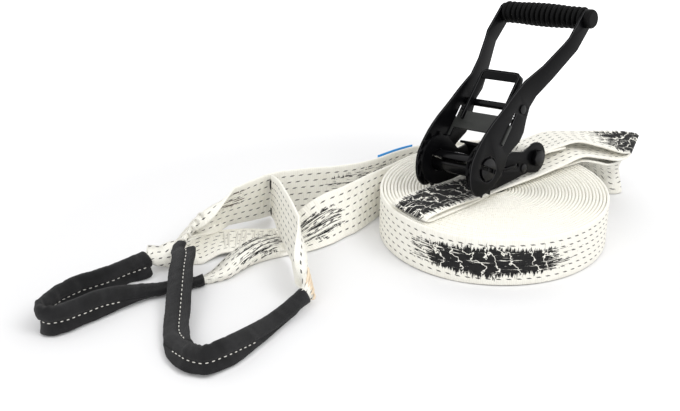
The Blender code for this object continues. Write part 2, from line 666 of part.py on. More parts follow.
# Anchor: hexagon bolt, nut and the tube between the plates
head_start, head_end = FRAME_OUTSIDE + GAP, FRAME_OUTSIDE + GAP + BOLT_HEAD_THICKNESS
hexagon = arc((0, 0), BOLT_HEAD_RADIUS, 0, 2 * pi * 5 / 6, 6)
bolt = add_object("anchor_bolt", moved(prism(hexagon, head_start, head_end), bolt_place), STEEL, frame)
cut(bolt, moved(rod(BOLT_RADIUS, -head_end - BOLT_THREAD_SHOWN, head_start + GAP), bolt_place), "UNION")
nut = add_object("anchor_nut", moved(prism(hexagon, -head_end, -head_start), bolt_place), STEEL, frame)
cut(nut, moved(rod(BOLT_RADIUS + GAP, -head_end - CUT_OVERRUN, -head_start + CUT_OVERRUN), bolt_place))
tube_end = FRAME_INSIDE_HALF - GAP
tube_profile = [(-tube_end, SPACER_RADIUS), (tube_end, SPACER_RADIUS),
                (tube_end, BOLT_RADIUS + GAP), (-tube_end, BOLT_RADIUS + GAP)]
add_object("anchor_spacer", moved(turned(tube_profile, 24, bored=True), bolt_place), STEEL, frame)


def thick_line(points, thickness):
    """An outline that follows a line of points at half a thickness to each side."""
    left, right = [], []
    for index, point in enumerate(points):
        before, after = points[max(index - 1, 0)], points[min(index + 1, len(points) - 1)]
        along = Vector((after[0] - before[0], after[1] - before[1])).normalized()
        left.append((point[0] - along.y * thickness / 2, point[1] + along.x * thickness / 2))
        right.append((point[0] + along.y * thickness / 2, point[1] - along.x * thickness / 2))
    return left + right[::-1]


# Lock pawl: a sheet across the frame with an ear over each wheel, a finger tongue and a flange
LOCK_TONGUE_SHARES = ((0.990, -0.138), (0.792, -0.138), (0.732, -0.064), (0.673, 0.040),
                      (0.594, 0.237), (0.475, 0.327), (0.357, 0.357))
lock_side, lock_ear = WHEEL_OUTSIDE - EAR_CLEARANCE - EAR_CLEARANCE, FRAME_INSIDE_HALF - SLOT_CLEARANCE - GAP
lock_outline = [(-lock_side, LOCK_PAWL_TIP), (-lock_ear, LOCK_PAWL_TIP), (-lock_ear, LOCK_PAWL_SHOULDER),
                (lock_ear, LOCK_PAWL_SHOULDER), (lock_ear, LOCK_PAWL_TIP), (lock_side, LOCK_PAWL_TIP),
                (lock_side, LOCK_PAWL_BACK), (-lock_side, LOCK_PAWL_BACK)]
lock_pawl = add_object("lock_pawl", prism(
    lock_outline, -LOCK_PAWL_DROP - lock_half, -LOCK_PAWL_DROP + lock_half, "Z"), STEEL, frame)
tongue = thick_line(pick(LOCK_TONGUE_SHARES, LOCK_PAWL_BACK), LOCK_TONGUE_THICKNESS)
cut(lock_pawl, prism(tongue, -LOCK_TONGUE_HALF_WIDTH, LOCK_TONGUE_HALF_WIDTH), "UNION")
cut(lock_pawl, block((-lock_ear, lock_ear), (LOCK_PAWL_BACK - GAP, LOCK_PAWL_BACK + LOCK_FLANGE_THICKNESS), (
    -LOCK_PAWL_DROP - LOCK_FLANGE_DEPTH, -LOCK_PAWL_DROP + lock_half)), "UNION")

# Spool: two half-round bars with the strap's slot between them


def half_round(radius, chord, side, count):
    start = asin(chord / radius)
    return [(y, z * side) for y, z in arc((0, 0), radius, start, pi - start, count)]


spool_end = HANDLE_OUTSIDE + SPOOL_OVERHANG
pin_place = HANDLE_INSIDE + BUSH_THICKNESS + GAP + SPOOL_PIN_RADIUS
for bar_name, side in (("upper", 1), ("lower", -1)):
    bar = add_object("spool_bar_" + bar_name, prism(
        half_round(SPOOL_RADIUS, SPOOL_SLOT / 2, side, 16), -spool_end, spool_end), STEEL, spool)
    for place in (-pin_place, pin_place):
        cut(bar, upright(rod(SPOOL_PIN_RADIUS + GAP, -SPOOL_RADIUS * 2, SPOOL_RADIUS * 2, 12), place))

# Ratchet wheels, each with two half-round holes for the bars
TOOTH_FALL_SHARE = 0.14
TOOTH_RISE_SHARE = 0.45
tooth = 2 * pi / WHEEL_TEETH
wheel_outline = []
for index in range(WHEEL_TEETH):
    for share, radius in ((0, WHEEL_RADIUS), (TOOTH_FALL_SHARE, WHEEL_ROOT_RADIUS),
                          (TOOTH_RISE_SHARE, WHEEL_ROOT_RADIUS)):
        angle = tooth * (index + share)
        wheel_outline.append((radius * cos(angle), radius * sin(angle)))
for side_name, side in SIDES:
    wheel = add_object("ratchet_wheel_" + side_name, mirrored(
        prism(wheel_outline, WHEEL_INSIDE, WHEEL_OUTSIDE), side), STEEL, spool)
    for bar_side in (1, -1):
        hole = half_round(SPOOL_RADIUS + GAP, SPOOL_SLOT / 2 - GAP, bar_side, 16)
        cut(wheel, mirrored(prism(hole, WHEEL_INSIDE - CUT_OVERRUN, WHEEL_OUTSIDE + CUT_OVERRUN), side))
    bush_profile = [(HANDLE_INSIDE, BUSH_RADIUS), (HANDLE_INSIDE + BUSH_THICKNESS, BUSH_RADIUS),
                    (HANDLE_INSIDE + BUSH_THICKNESS, SPOOL_RADIUS + GAP), (HANDLE_INSIDE, SPOOL_RADIUS + GAP)]
    add_object("spool_bush_" + side_name, mirrored(turned(bush_profile, 32, bored=True), side), STEEL, spool)

# Retaining pins through the ends of both bars
for side_name, side in SIDES:
    pin = rod(SPOOL_PIN_RADIUS, -SPOOL_PIN_HALF_LENGTH, SPOOL_PIN_HALF_LENGTH, 12)
    add_object("spool_pin_" + side_name, upright(pin, side * pin_place), STEEL, spool)

# Handle plates: a head round the spool, and an arm that spreads toward the grip
HANDLE_RAIL_SHARES = (
    (-0.1545, -0.0150, 0.0150), (-0.1505, -0.0330, 0.0340), (-0.1380, -0.0500, 0.0560),
    (-0.1190, -0.0640, 0.0800), (-0.0980, -0.0760, 0.0990), (-0.0730, -0.0900, 0.1170),
    (-0.0402, -0.1020, 0.1320), (0.0041, -0.1090, 0.1410), (0.0415, -0.1110, 0.1450),
    (0.0777, -0.1080, 0.1480), (0.1036, -0.1000, 0.1480), (0.1399, -0.0830, 0.1465),
    (0.1865, -0.0900, 0.1420), (0.2591, -0.1088, 0.1295),
    (0.3109, -0.1010, 0.1218), (0.3731, -0.0674, 0.1140), (0.4352, -0.0415, 0.1036),
    (0.5078, -0.0435, 0.0881), (0.6321, -0.0466, 0.0648), (0.7772, -0.0415, 0.0596),
    (0.8290, -0.0394, 0.0611), (0.9482, -0.0373, 0.0653), (1.0000, -0.0363, 0.0674),
    (1.0259, -0.0290, 0.0601), (1.0425, -0.0130, 0.0440), (1.0492, 0.0080, 0.0230),
)
HANDLE_BEND_SHARES = (0.5078, 0.8290)


def handle_spread(reach):
    start, end = (share * HANDLE_REACH for share in HANDLE_BEND_SHARES)
    return HANDLE_SPREAD_WIDTH * min(max((reach - start) / (end - start), 0), 1)


def handle_plate_mesh():
    def build(shape):
        rings = []
        for along, low, high in HANDLE_RAIL_SHARES:
            reach = along * HANDLE_REACH
            inside, outside = HANDLE_INSIDE + handle_spread(reach), HANDLE_OUTSIDE + handle_spread(reach)
            corners = ((inside, low), (outside, low), (outside, high), (inside, high))
            rings.append([shape.verts.new((x, reach, z * HANDLE_REACH)) for x, z in corners])
        bridge_rings(shape, rings)
    return mesh_from("handle_plate", build)


cross_place = (0, CROSS_ROD_REACH, 0)
grip_place = (0, HANDLE_REACH, GRIP_OFFSET)
through = (HANDLE_INSIDE - CUT_OVERRUN, HANDLE_OUTSIDE + CUT_OVERRUN)
through_grip = (through[0] + HANDLE_SPREAD_WIDTH, through[1] + HANDLE_SPREAD_WIDTH)
pawl_half = PAWL_THICKNESS / 2
pawl_slot = (PAWL_TIP - SLOT_CLEARANCE, PAWL_SLOT_END)
for side_name, side in SIDES:
    plate = add_object("handle_plate_" + side_name, mirrored(handle_plate_mesh(), side), STEEL, handle)
    cut(plate, mirrored(rod(HANDLE_HOLE_RADIUS, *through, 32), side))
    cut(plate, mirrored(moved(rod(CROSS_ROD_RADIUS + GAP, *through, 16), cross_place), side))
    cut(plate, mirrored(moved(rod(GRIP_ROD_RADIUS + GAP, *through_grip, 16), grip_place), side))
    slot = block(through, pawl_slot, (-pawl_half - GAP, pawl_half + GAP))
    cut(plate, mirrored(moved(slot, (0, 0, -PAWL_DROP), PAWL_ANGLE), side))

# Cross rod of the handle, with a rivet head outside each plate
rod_end = HANDLE_OUTSIDE + GAP
rod_profile = [(-rod_end - RIVET_HEAD_THICKNESS, RIVET_HEAD_RADIUS), (-rod_end, RIVET_HEAD_RADIUS),
               (-rod_end, CROSS_ROD_RADIUS), (rod_end, CROSS_ROD_RADIUS),
               (rod_end, RIVET_HEAD_RADIUS), (rod_end + RIVET_HEAD_THICKNESS, RIVET_HEAD_RADIUS)]
add_object("handle_cross_rod", moved(turned(rod_profile, 16), cross_place), STEEL, handle)

# Grip: rod, ribbed rubber sleeve between the plates and a rubber cap outside each plate
sleeve_end = HANDLE_INSIDE + HANDLE_SPREAD_WIDTH - GAP
cap_start = HANDLE_OUTSIDE + HANDLE_SPREAD_WIDTH + GAP
cap_end = cap_start + GRIP_CAP_THICKNESS
add_object("grip_rod", moved(rod(GRIP_ROD_RADIUS, -(cap_start + cap_end) / 2, (cap_start + cap_end) / 2, 16),
                             grip_place), STEEL, handle)
pitch = 2 * sleeve_end / GRIP_RIBS
groove_radius = GRIP_RADIUS - GRIP_GROOVE
RIB_SHARES = ((0, groove_radius), (0.16, groove_radius), (0.30, GRIP_RADIUS), (0.86, GRIP_RADIUS))
ribs = []
for index in range(GRIP_RIBS):
    start = -sleeve_end + pitch * index
    ribs += [(start + pitch * share, radius) for share, radius in RIB_SHARES]
ribs += [(sleeve_end, groove_radius), (sleeve_end, GRIP_ROD_RADIUS + GAP), (-sleeve_end, GRIP_ROD_RADIUS + GAP)]
add_object("grip_sleeve", moved(turned(ribs, GRIP_SIDES, bored=True), grip_place), RUBBER, handle)
for side_name, side in SIDES:
    cap_profile = [(cap_start, GRIP_RADIUS), (cap_end - GRIP_CAP_EDGE, GRIP_RADIUS),
                   (cap_end, GRIP_RADIUS - GRIP_CAP_EDGE)]
    cap = add_object("grip_end_cap_" + side_name, mirrored(
        moved(turned(cap_profile, GRIP_SIDES), grip_place), side), RUBBER, handle)
    bore = rod(GRIP_ROD_RADIUS + GAP, cap_start - CUT_OVERRUN, (cap_start + cap_end) / 2 + GAP, 16)
    cut(cap, mirrored(moved(bore, grip_place), side))

# Drive pawl: a sheet through slots in both handle plates, two spring flanges and a U-shaped pull
ear_out, ear_in = HANDLE_OUTSIDE + PAWL_EAR_OVERHANG, WHEEL_INSIDE + EAR_CLEARANCE
bridge_half = HANDLE_INSIDE - GAP - EAR_CLEARANCE - EAR_CLEARANCE
pawl_outline = [(-ear_out, PAWL_TIP), (-ear_in, PAWL_TIP), (-ear_in, PAWL_BRIDGE_START),
                (ear_in, PAWL_BRIDGE_START), (ear_in, PAWL_TIP), (ear_out, PAWL_TIP),
                (ear_out, PAWL_EAR_END), (bridge_half, PAWL_EAR_END), (bridge_half, PAWL_BRIDGE_END),
                (-bridge_half, PAWL_BRIDGE_END), (-bridge_half, PAWL_EAR_END), (-ear_out, PAWL_EAR_END)]
drive_pawl = add_object("drive_pawl", prism(pawl_outline, -pawl_half, pawl_half, "Z"), STEEL, slide)


def pull_outline():
    """The U-shaped pull from above, with round corners at its far end."""
    outer, inner, corner = PULL_HALF_WIDTH, PULL_HALF_WIDTH - PULL_THICKNESS, PULL_CORNER
    start = (PAWL_BRIDGE_START + PAWL_BRIDGE_END) / 2
    corner_reach = PULL_REACH - corner
    bend = corner - PULL_THICKNESS
    points = [(outer, start)] + arc((outer - corner, corner_reach), corner, 0, pi / 2, 5)
    points += arc((corner - outer, corner_reach), corner, pi / 2, pi, 5) + [(-outer, start), (-inner, start)]
    points += arc((corner - outer, corner_reach), bend, pi, pi / 2, 5)
    points += arc((outer - corner, corner_reach), bend, pi / 2, 0, 5) + [(inner, start)]
    return points


cut(drive_pawl, prism(pull_outline(), PULL_LOW, PULL_HIGH, "Z"), "UNION")
flange_reach = (PAWL_BRIDGE_END - PAWL_FLANGE_THICKNESS, PAWL_BRIDGE_END)
for flange_side in (1, -1):
    flange_x = (flange_side * (DRIVE_SPRING_PLACE - PAWL_FLANGE_HALF), flange_side * (
        DRIVE_SPRING_PLACE + PAWL_FLANGE_HALF))
    cut(drive_pawl, block(flange_x, flange_reach, (-PAWL_FLANGE_DEPTH, GAP)), "UNION")


def spring_mesh(place, start, end, height):
    """A coil spring along Y."""
    def build(shape):
        inner_start, inner_end = start + SPRING_WIRE_RADIUS, end - SPRING_WIRE_RADIUS
        steps = int(SPRING_TURNS * SPRING_STEPS_PER_TURN)
        rings = []
        for step in range(steps + 1):
            angle = 2 * pi * step / SPRING_STEPS_PER_TURN
            along = inner_start + (inner_end - inner_start) * step / steps
            out = Vector((cos(angle), 0, sin(angle)))
            centre = Vector((place, along, height)) + out * (SPRING_RADIUS - SPRING_WIRE_RADIUS)
            ring = []
            for point in range(SPRING_POINTS):
                around = 2 * pi * point / SPRING_POINTS
                offset = out * cos(around) + Vector((0, 1, 0)) * sin(around)
                ring.append(shape.verts.new(centre + offset * SPRING_WIRE_RADIUS))
            rings.append(ring)
        bridge_rings(shape, rings)
    return mesh_from("spring", build)


# Springs: two behind the lock pawl against the tie rod, two behind the drive pawl against the rod
lock_spring_start = LOCK_PAWL_BACK + LOCK_FLANGE_THICKNESS + GAP
lock_spring_end = TIE_ROD_REACH - TIE_ROD_RADIUS - GAP
drive_spring_start = PAWL_BRIDGE_END + GAP
drive_spring_end = (slide.matrix_local.inverted() @ Vector(cross_place)).y - CROSS_ROD_RADIUS - GAP
for side_name, side in SIDES:
    add_object("lock_pawl_spring_" + side_name, spring_mesh(
        side * LOCK_SPRING_PLACE, lock_spring_start, lock_spring_end, -TIE_ROD_DROP), STEEL, frame)
    add_object("drive_pawl_spring_" + side_name, spring_mesh(
        side * DRIVE_SPRING_PLACE, drive_spring_start, drive_spring_end, -DRIVE_SPRING_DROP), STEEL, slide)

print("ratchet axis:", [round(value, 6) for value in ratchet.matrix_world.to_translation()])
print("ratchet across:", [round(value, 6) for value in RATCHET_ACROSS])
print("bolt centre:", [round(value, 6) for value in BOLT_CENTRE])
print("lock pawl line:", [round(value, 6) for value in FRAME_ALONG])
print("drive pawl line:", [round(value, 6) for value in slide.matrix_world.to_3x3() @ Vector((0, 1, 0))])
print("drive pawl place:", [round(value, 6) for value in slide.matrix_world.to_translation()])
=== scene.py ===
"""Looks of a slackline set: a wound main line, a ratchet strap and a long lever ratchet on a pale floor."""
import json
from functools import partialmethod
from math import atan, copysign, cos, pi, radians, sin, sqrt

import bmesh
import bpy
import numpy as np
from mathutils import Euler, Matrix, Vector, noise


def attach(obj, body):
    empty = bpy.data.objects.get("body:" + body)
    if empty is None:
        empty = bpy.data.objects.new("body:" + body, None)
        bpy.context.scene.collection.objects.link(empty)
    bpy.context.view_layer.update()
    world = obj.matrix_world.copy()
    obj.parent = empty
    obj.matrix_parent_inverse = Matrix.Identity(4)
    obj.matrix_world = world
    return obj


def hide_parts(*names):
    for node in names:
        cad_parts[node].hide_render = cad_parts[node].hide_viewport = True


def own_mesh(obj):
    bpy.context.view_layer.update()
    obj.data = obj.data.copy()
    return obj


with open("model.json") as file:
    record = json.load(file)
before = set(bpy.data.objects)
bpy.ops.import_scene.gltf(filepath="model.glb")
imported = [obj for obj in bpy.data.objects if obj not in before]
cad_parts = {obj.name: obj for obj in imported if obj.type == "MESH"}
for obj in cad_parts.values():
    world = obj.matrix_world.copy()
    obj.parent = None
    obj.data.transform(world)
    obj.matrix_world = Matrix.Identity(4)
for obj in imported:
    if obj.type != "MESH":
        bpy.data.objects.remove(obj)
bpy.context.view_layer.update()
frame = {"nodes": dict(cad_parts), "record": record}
bpy.ops.object.select_all(action="DESELECT")
scene = bpy.context.scene
scene.view_settings.view_transform = "Standard"

# Camera, where the photograph was taken: about 1.1 m in front of the set and looking down 25.5 degrees.
# Its picture is 680 pixels wide, and a thing as wide as a 1200th of its distance fills one pixel.
EYE = (-0.15862, -1.12486, 0.56697)
LOOK_DOWN = radians(25.5)
PICTURE_HALF_WIDTH = 340
PICTURE_DISTANCE = 1200

bpy.ops.object.camera_add(location=EYE, rotation=(pi / 2 - LOOK_DOWN, 0, 0))
camera = bpy.context.object
camera.data.sensor_fit = "HORIZONTAL"
camera.data.angle = 2 * atan(PICTURE_HALF_WIDTH / PICTURE_DISTANCE)
scene.camera = camera

# Floor: a plain white table top that keeps the shadows of the set. Away from the set it glows more and
# more, so that it fades into the white behind it, and polished things see it as plain white.
FLOOR_SIZE = 12.0
FLOOR_DROP = 0.0004
FLOOR_OWN_LIGHT = 0.60
FLOOR_OWN_NEAR = 0.02
FLOOR_FADE = (0.31, 0.72)
FLOOR_MIDDLE = (-0.15, -0.10, 0.0)
FLOOR_COLOUR = (0.78, 0.78, 0.785, 1.0)


class Value:
    """A socket in a tree of nodes. Sums on it add the nodes that work them out."""

    def __init__(self, nodes, socket):
        self.nodes, self.socket = nodes, socket

    def math(self, operation, *others):
        return self.nodes.node("ShaderNodeMath", {"operation": operation}, [self, *others])

    __add__ = partialmethod(math, "ADD")
    __sub__ = partialmethod(math, "SUBTRACT")
    __mul__ = partialmethod(math, "MULTIPLY")
    __truediv__ = partialmethod(math, "DIVIDE")
    __abs__ = partialmethod(math, "ABSOLUTE")
    most = partialmethod(math, "MAXIMUM")
    sine = partialmethod(math, "SINE")
    fraction = partialmethod(math, "FRACT")

    def __rsub__(self, other):
        return (self * -1) + other

    def rise(self, low, high):
        """0 below low, 1 above high, smooth between. With low above high it falls."""
        return self.nodes.node("ShaderNodeMapRange", {"interpolation_type": "SMOOTHSTEP"},
                               {"Value": self, "From Min": low, "From Max": high})


class Nodes:
    """A tree of nodes, of a material or of the world."""

    def __init__(self, tree):
        self.tree = tree

    def node(self, kind, settings, inputs, output=0):
        """Adds a node with its settings, then the values or links of its sockets."""
        made = self.tree.nodes.new(kind)
        for setting, value in settings.items():
            setattr(made, setting, value)
        for socket, value in inputs.items() if isinstance(inputs, dict) else enumerate(inputs):
            if isinstance(value, Value):
                self.tree.links.new(value.socket, made.inputs[socket])
            else:
                made.inputs[socket].default_value = value
        return Value(self, made.outputs[output])

    def seen_as_is(self):
        """1 where the camera or a polished or clear thing looks, 0 where light only falls around."""
        kinds = ("Is Camera Ray", "Is Glossy Ray", "Is Transmission Ray")
        camera_ray, glossy_ray, clear_ray = (self.node("ShaderNodeLightPath", {}, {}, kind) for kind in kinds)
        return camera_ray.most(glossy_ray).most(clear_ray)


class Finish(Nodes):
    """A procedural material. What is the same all over is set on the shader's own sockets."""

    def __init__(self, name, **constants):
        self.material = bpy.data.materials.new(name)
        self.material.use_nodes = True
        super().__init__(self.material.node_tree)
        self.shader = self.tree.nodes["Principled BSDF"]
        for socket, value in constants.items():
            self.shader.inputs[socket.replace("_", " ")].default_value = value

    def set(self, **links):
        """Links what varies to the shader."""
        for socket, value in links.items():
            self.tree.links.new(value.socket, self.shader.inputs[socket.replace("_", " ")])

    def place(self):
        """Object coordinates."""
        return self.node("ShaderNodeTexCoord", {}, {}, "Object")

    def weave_map(self):
        """The two coordinates of a cloth's own map, in metres across and along it."""
        spot = self.node("ShaderNodeUVMap", {"uv_map": "weave"}, {})
        return [self.node("ShaderNodeSeparateXYZ", {}, [spot], axis) for axis in "XY"]

    def noise(self, spot, scale, detail=3.0, roughness=0.55):
        return self.node("ShaderNodeTexNoise", {}, {"Vector": spot, "Scale": scale, "Detail": detail,
                                                    "Roughness": roughness}, "Fac")

    def grain(self, across, along, scales, shift=0.0, detail=3.0, roughness=0.55):
        """Noise on a cloth's own map, with a scale across it and one along it."""
        spot = self.node("ShaderNodeCombineXYZ", {}, [across * scales[0], along * scales[1], shift])
        return self.noise(spot, 1.0, detail, roughness)

    def blend(self, share, first, second):
        """A colour between two colours."""
        pair = [colour if isinstance(colour, Value) else (*colour, 1.0) for colour in (first, second)]
        return self.node("ShaderNodeMix", {"data_type": "RGBA"}, {0: share, 6: pair[0], 7: pair[1]}, 2)

    def bump(self, height, distance, strength):
        return self.node("ShaderNodeBump", {}, {"Height": height, "Distance": distance, "Strength": strength})


bpy.ops.mesh.primitive_plane_add(size=FLOOR_SIZE, location=(0, 0, -FLOOR_DROP))
floor = bpy.context.object
floor.name = "table_top"
white = Finish("white_table_top", Base_Color=FLOOR_COLOUR, Roughness=0.9, Specular_IOR_Level=0.0)
away = white.node("ShaderNodeVectorMath", {"operation": "DISTANCE"}, [white.place(), FLOOR_MIDDLE], "Value")
white.set(Emission_Color=white.blend(away.rise(*FLOOR_FADE), (FLOOR_OWN_NEAR,) * 3, (1.0, 1.0, 1.0)),
          Emission_Strength=white.seen_as_is() * FLOOR_OWN_LIGHT)
floor.data.materials.append(white.material)

# Light: an even white room that gives most of it, one broad soft lamp above and in front to the right,
# and a weaker one to the left, both aimed at the middle of the set.
SKY_STRENGTH = 0.99
LAMPS = (((1.0, -0.8, 1.7), 1.1, 15.0), ((-0.9, -1.2, 1.2), 0.9, 5.0))  # Place, size and power
LAMP_AIM = Vector((-0.1, -0.05, 0.05))

world = scene.world or bpy.data.worlds.new("white_room")
scene.world = world
world.use_nodes = True
sky = Nodes(world.node_tree)
background = sky.tree.nodes["Background"]
background.inputs["Color"].default_value = (1.0, 1.0, 1.0, 1.0)
strength = sky.seen_as_is() * (1 - SKY_STRENGTH) + SKY_STRENGTH
sky.tree.links.new(strength.socket, background.inputs["Strength"])
for place, size, power in LAMPS:
    bpy.ops.object.light_add(type="AREA", location=place)
    lamp = bpy.context.object
    lamp.data.size = size
    lamp.data.energy = power
    lamp.rotation_euler = (LAMP_AIM - Vector(place)).to_track_quat("-Z", "Y").to_euler()

# Main line: 50 mm polyester webbing, about 13 m of it wound flat from the middle outwards. Its free end
# tips from its edge onto its face, and runs to the left into its loop. One strip, woven in one piece.
WEBBING_WIDTH = 0.050
WEBBING_THICKNESS = 0.0028
GAP = 0.0003
ROLL_RADIUS = 0.1176
ROLL_PITCH = 0.0034
ROLL_INNER_RADIUS = 0.0105
ROLL_EXIT_ANGLE = radians(138.5)
ROLL_POINTS_PER_TURN = 96
TURN_UNEVENNESS = 0.0006
ROLL_THICKNESS = 0.0031
ROLL_SWELL = 0.0012
ROLL_SWELL_LEFT = 0.0017
ROLL_LEAD = 0.0075
TAIL_SHARES = (
    (-0.884, 0.502, 0, 138, 87), (-1.093, 0.247, 0, 136, 76), (-1.259, 0.051, 0, 136, 66),
    (-1.429, -0.068, 0, 140, 52), (-1.616, -0.17, 0, 140, 22), (-1.786, -0.245, 0, 114, 0),
    (-1.956, -0.366, 0, 128, 0), (-2.109, -0.527, 0, 134, 0), (-2.236, -0.697, 0, 134, 0, 0.94),
    (-2.347, -0.85, 0, 122, 0, 0.76), (-2.466, -0.944, 0, 100, 0, 0.6),
)
# Places along the webbing's underside: shares of its width and of its thickness. Its upper side mirrors them.
WEBBING_UNDERSIDE = ((-0.5, 0.0), (-0.490, -0.34), (-0.468, -0.5), (-0.38, -0.5), (-0.25, -0.5), (0.0, -0.5),
                     (0.25, -0.5), (0.38, -0.5), (0.468, -0.5), (0.490, -0.34), (0.5, 0.0))
WEBBING_SECTION = WEBBING_UNDERSIDE + tuple((share, -height) for share, height in WEBBING_UNDERSIDE[-2:0:-1])
FACE_HEIGHT = 0.3
FOLD_FLAP = 0.0135
FOLD_RADIUS = 0.0015
FOLD_START_SHARE = 0.97
FOLD_END_SHARE = 0.60
FOLD_EASE = 0.8
FLAT_TURN = 0.02
SQUEEZED_SHARE = 0.50
SQUEEZE = 0.62
PLUMPED = 0.05
TUBE_ASIDE = 0.0055
FOLD_TURN_SHARE = 0.985
SLEEVE_LEAD = 0.034
TAIL_LEAD = 0.130
INTO_SLEEVE = 0.005
STEP_LENGTH = 0.004


def stations(rows, thickness=WEBBING_THICKNESS, widest=1.0):
    """Rows of a route as (centre, direction across, width share).

    A row gives its place on the floor in roll radii, the height of its lowest edge in webbing widths, the
    azimuth and lean of its width in degrees and, where they are not 1 and 0, its share of the widest width
    and the layers of webbing that it lies on.
    """
    found = []
    for row in rows:
        x_share, y_share, rise, azimuth, lean, width, layers = row + (1, 0)[len(row) - 5:]
        azimuth, lean, width = radians(azimuth), radians(lean), width * widest
        lowest = GAP + layers * (WEBBING_THICKNESS + GAP) + rise * WEBBING_WIDTH
        height = lowest + WEBBING_WIDTH * width / 2 * abs(sin(lean)) + thickness / 2 * abs(cos(lean))
        found.append((x_share * ROLL_RADIUS, y_share * ROLL_RADIUS, height,
                      cos(lean) * cos(azimuth), cos(lean) * sin(azimuth), sin(lean), width))
    return found


def smooth_route(rows, step_length=STEP_LENGTH):
    """A centripetal curve through rows of centre, direction across and width share."""
    def mix(first, second, start, end, at):
        return first * ((end - at) / (end - start)) + second * ((at - start) / (end - start))
    rows = np.array(rows, float)
    padded = np.vstack([2 * rows[0] - rows[1], rows, 2 * rows[-1] - rows[-2]])
    path = [rows[0]]
    for here in zip(padded, padded[1:], padded[2:], padded[3:]):
        spans = [np.linalg.norm(b[:3] - a[:3]) for a, b in zip(here, here[1:])]
        knots = np.concatenate([[0.0], np.cumsum(np.sqrt(spans))])
        steps = max(1, round(spans[1] / step_length))
        for step in range(1, steps + 1):
            at = knots[1] + (knots[2] - knots[1]) * step / steps
            level = [mix(here[i], here[i + 1], knots[i], knots[i + 1], at) for i in range(3)]
            level = [mix(level[i], level[i + 1], knots[i], knots[i + 2], at) for i in range(2)]
            path.append(mix(level[0], level[1], knots[1], knots[2], at))
    path = np.array(path)
    path[:, 3:6] /= np.linalg.norm(path[:, 3:6], axis=1)[:, None]
    return path


def beyond(path, width_share, lead):
    """Two rows straight on past a strip's end."""
    onward = (path[-1, :3] - path[-2, :3]) / np.linalg.norm(path[-1, :3] - path[-2, :3])
    return [(*(path[-1, :3] + onward * away), *path[-1, 3:6], width_share) for away in (GAP, GAP + lead)]


def lengths_along(path):
    steps = np.linalg.norm(np.diff(path[:, :3], axis=0), axis=1)
    return np.concatenate([[0.0], np.cumsum(steps)])


def axes_of(path):
    """The length so far, and the directions along, across and out of a strip, at each of its rows."""
    along = np.gradient(path[:, :3], axis=0)
    along /= np.linalg.norm(along, axis=1)[:, None]
    across = path[:, 3:6]
    out = np.cross(along, across)
    out /= np.linalg.norm(out, axis=1)[:, None]
    return lengths_along(path), along, across, out


def folded_point(share, height, turn):
    """A point of the cross-section once the strip's two sides are folded over by an angle."""
    flat_half = WEBBING_WIDTH / 2 - FOLD_FLAP
    spot = abs(share) * WEBBING_WIDTH
    if spot <= flat_half or turn < FLAT_TURN:
        return share * WEBBING_WIDTH, height
    past, bend = spot - flat_half, pi * FOLD_RADIUS
    angle = turn * min(past / bend, 1)
    x = bend / turn * sin(angle) + cos(turn) * max(past - bend, 0)
    z = bend / turn * (1 - cos(angle)) + sin(turn) * max(past - bend, 0)
    return copysign(flat_half + x - sin(angle) * height, share), z + cos(angle) * height


def fold_of(width_share):
    """How far a strip's edges are turned over at a width share, and how far it is squeezed, 0 to 1."""
    opened = (width_share - FOLD_END_SHARE) / (FOLD_START_SHARE - FOLD_END_SHARE)
    turn = pi * FOLD_TURN_SHARE * (1 - min(max(opened, 0), 1)) ** FOLD_EASE
    return turn, min(max((FOLD_END_SHARE - width_share) / (FOLD_END_SHARE - SQUEEZED_SHARE), 0), 1)


def strip_point(row, across, out, share, height, fold_side):
    """A point of a strip at a share of its width and a height over its middle layer.

    Where the path grows narrow the strip's edges fold over, and then it is squeezed into its sleeve.
    """
    turn, squeezed = fold_of(row[6])
    x, z = folded_point(share, height, turn)
    drop = FOLD_RADIUS * turn / pi
    plump = 1 + squeezed * PLUMPED
    return row[:3] + across * x * (1 - squeezed * SQUEEZE) + out * fold_side * (z - drop) * plump


def led_in(path, aside=0.0, reach=SLEEVE_LEAD, hidden=0.0):
    """A path whose strip grows narrow over its last stretch, and goes on a little way into its sleeve.

    aside moves its end along its own width, to where the tube of the sleeve is. hidden is how much of the
    path is in the sleeve already.
    """
    left = np.maximum(lengths_along(path)[-1] - hidden - lengths_along(path), 0)
    path = path.copy()
    path[:, 6] = np.minimum(path[:, 6], SQUEEZED_SHARE + (1 - SQUEEZED_SHARE) * left / reach)
    near = np.clip(1 - left / reach, 0, 1)
    path[:, :3] += path[:, 3:6] * (aside * near * near * (3 - 2 * near))[:, None]
    return np.vstack([path, beyond(path, SQUEEZED_SHARE, INTO_SLEEVE)[1:]])


def quads_between(first_ring, second_ring, count):
    """Faces between two rings of points, by the numbers of their first points."""
    return [(first_ring + first, first_ring + (first + 1) % count,
             second_ring + (first + 1) % count, second_ring + first) for first in range(count)]


def wall_of_rings(start, places, lengths):
    """Faces between rings of points, and their corners on the map. places go once round a ring."""
    count, faces, spots = len(places) - 1, [], []
    for ring in range(len(lengths) - 1):
        low, high = lengths[ring], lengths[ring + 1]
        faces += quads_between(start + ring * count, start + (ring + 1) * count, count)
        for left, right in zip(places, places[1:]):
            spots += [(left, low), (right, low), (right, high), (left, high)]
    return faces, spots


def piece_of(name, shape, mesh=None):
    """A smooth object from a shape, whose faces are turned outwards."""
    mesh = mesh or bpy.data.meshes.new(name)
    bmesh.ops.recalc_face_normals(shape, faces=shape.faces)
    shape.to_mesh(mesh)
    shape.free()
    mesh.shade_smooth()
    piece = bpy.data.objects.new(name, mesh)
    scene.collection.objects.link(piece)
    return piece


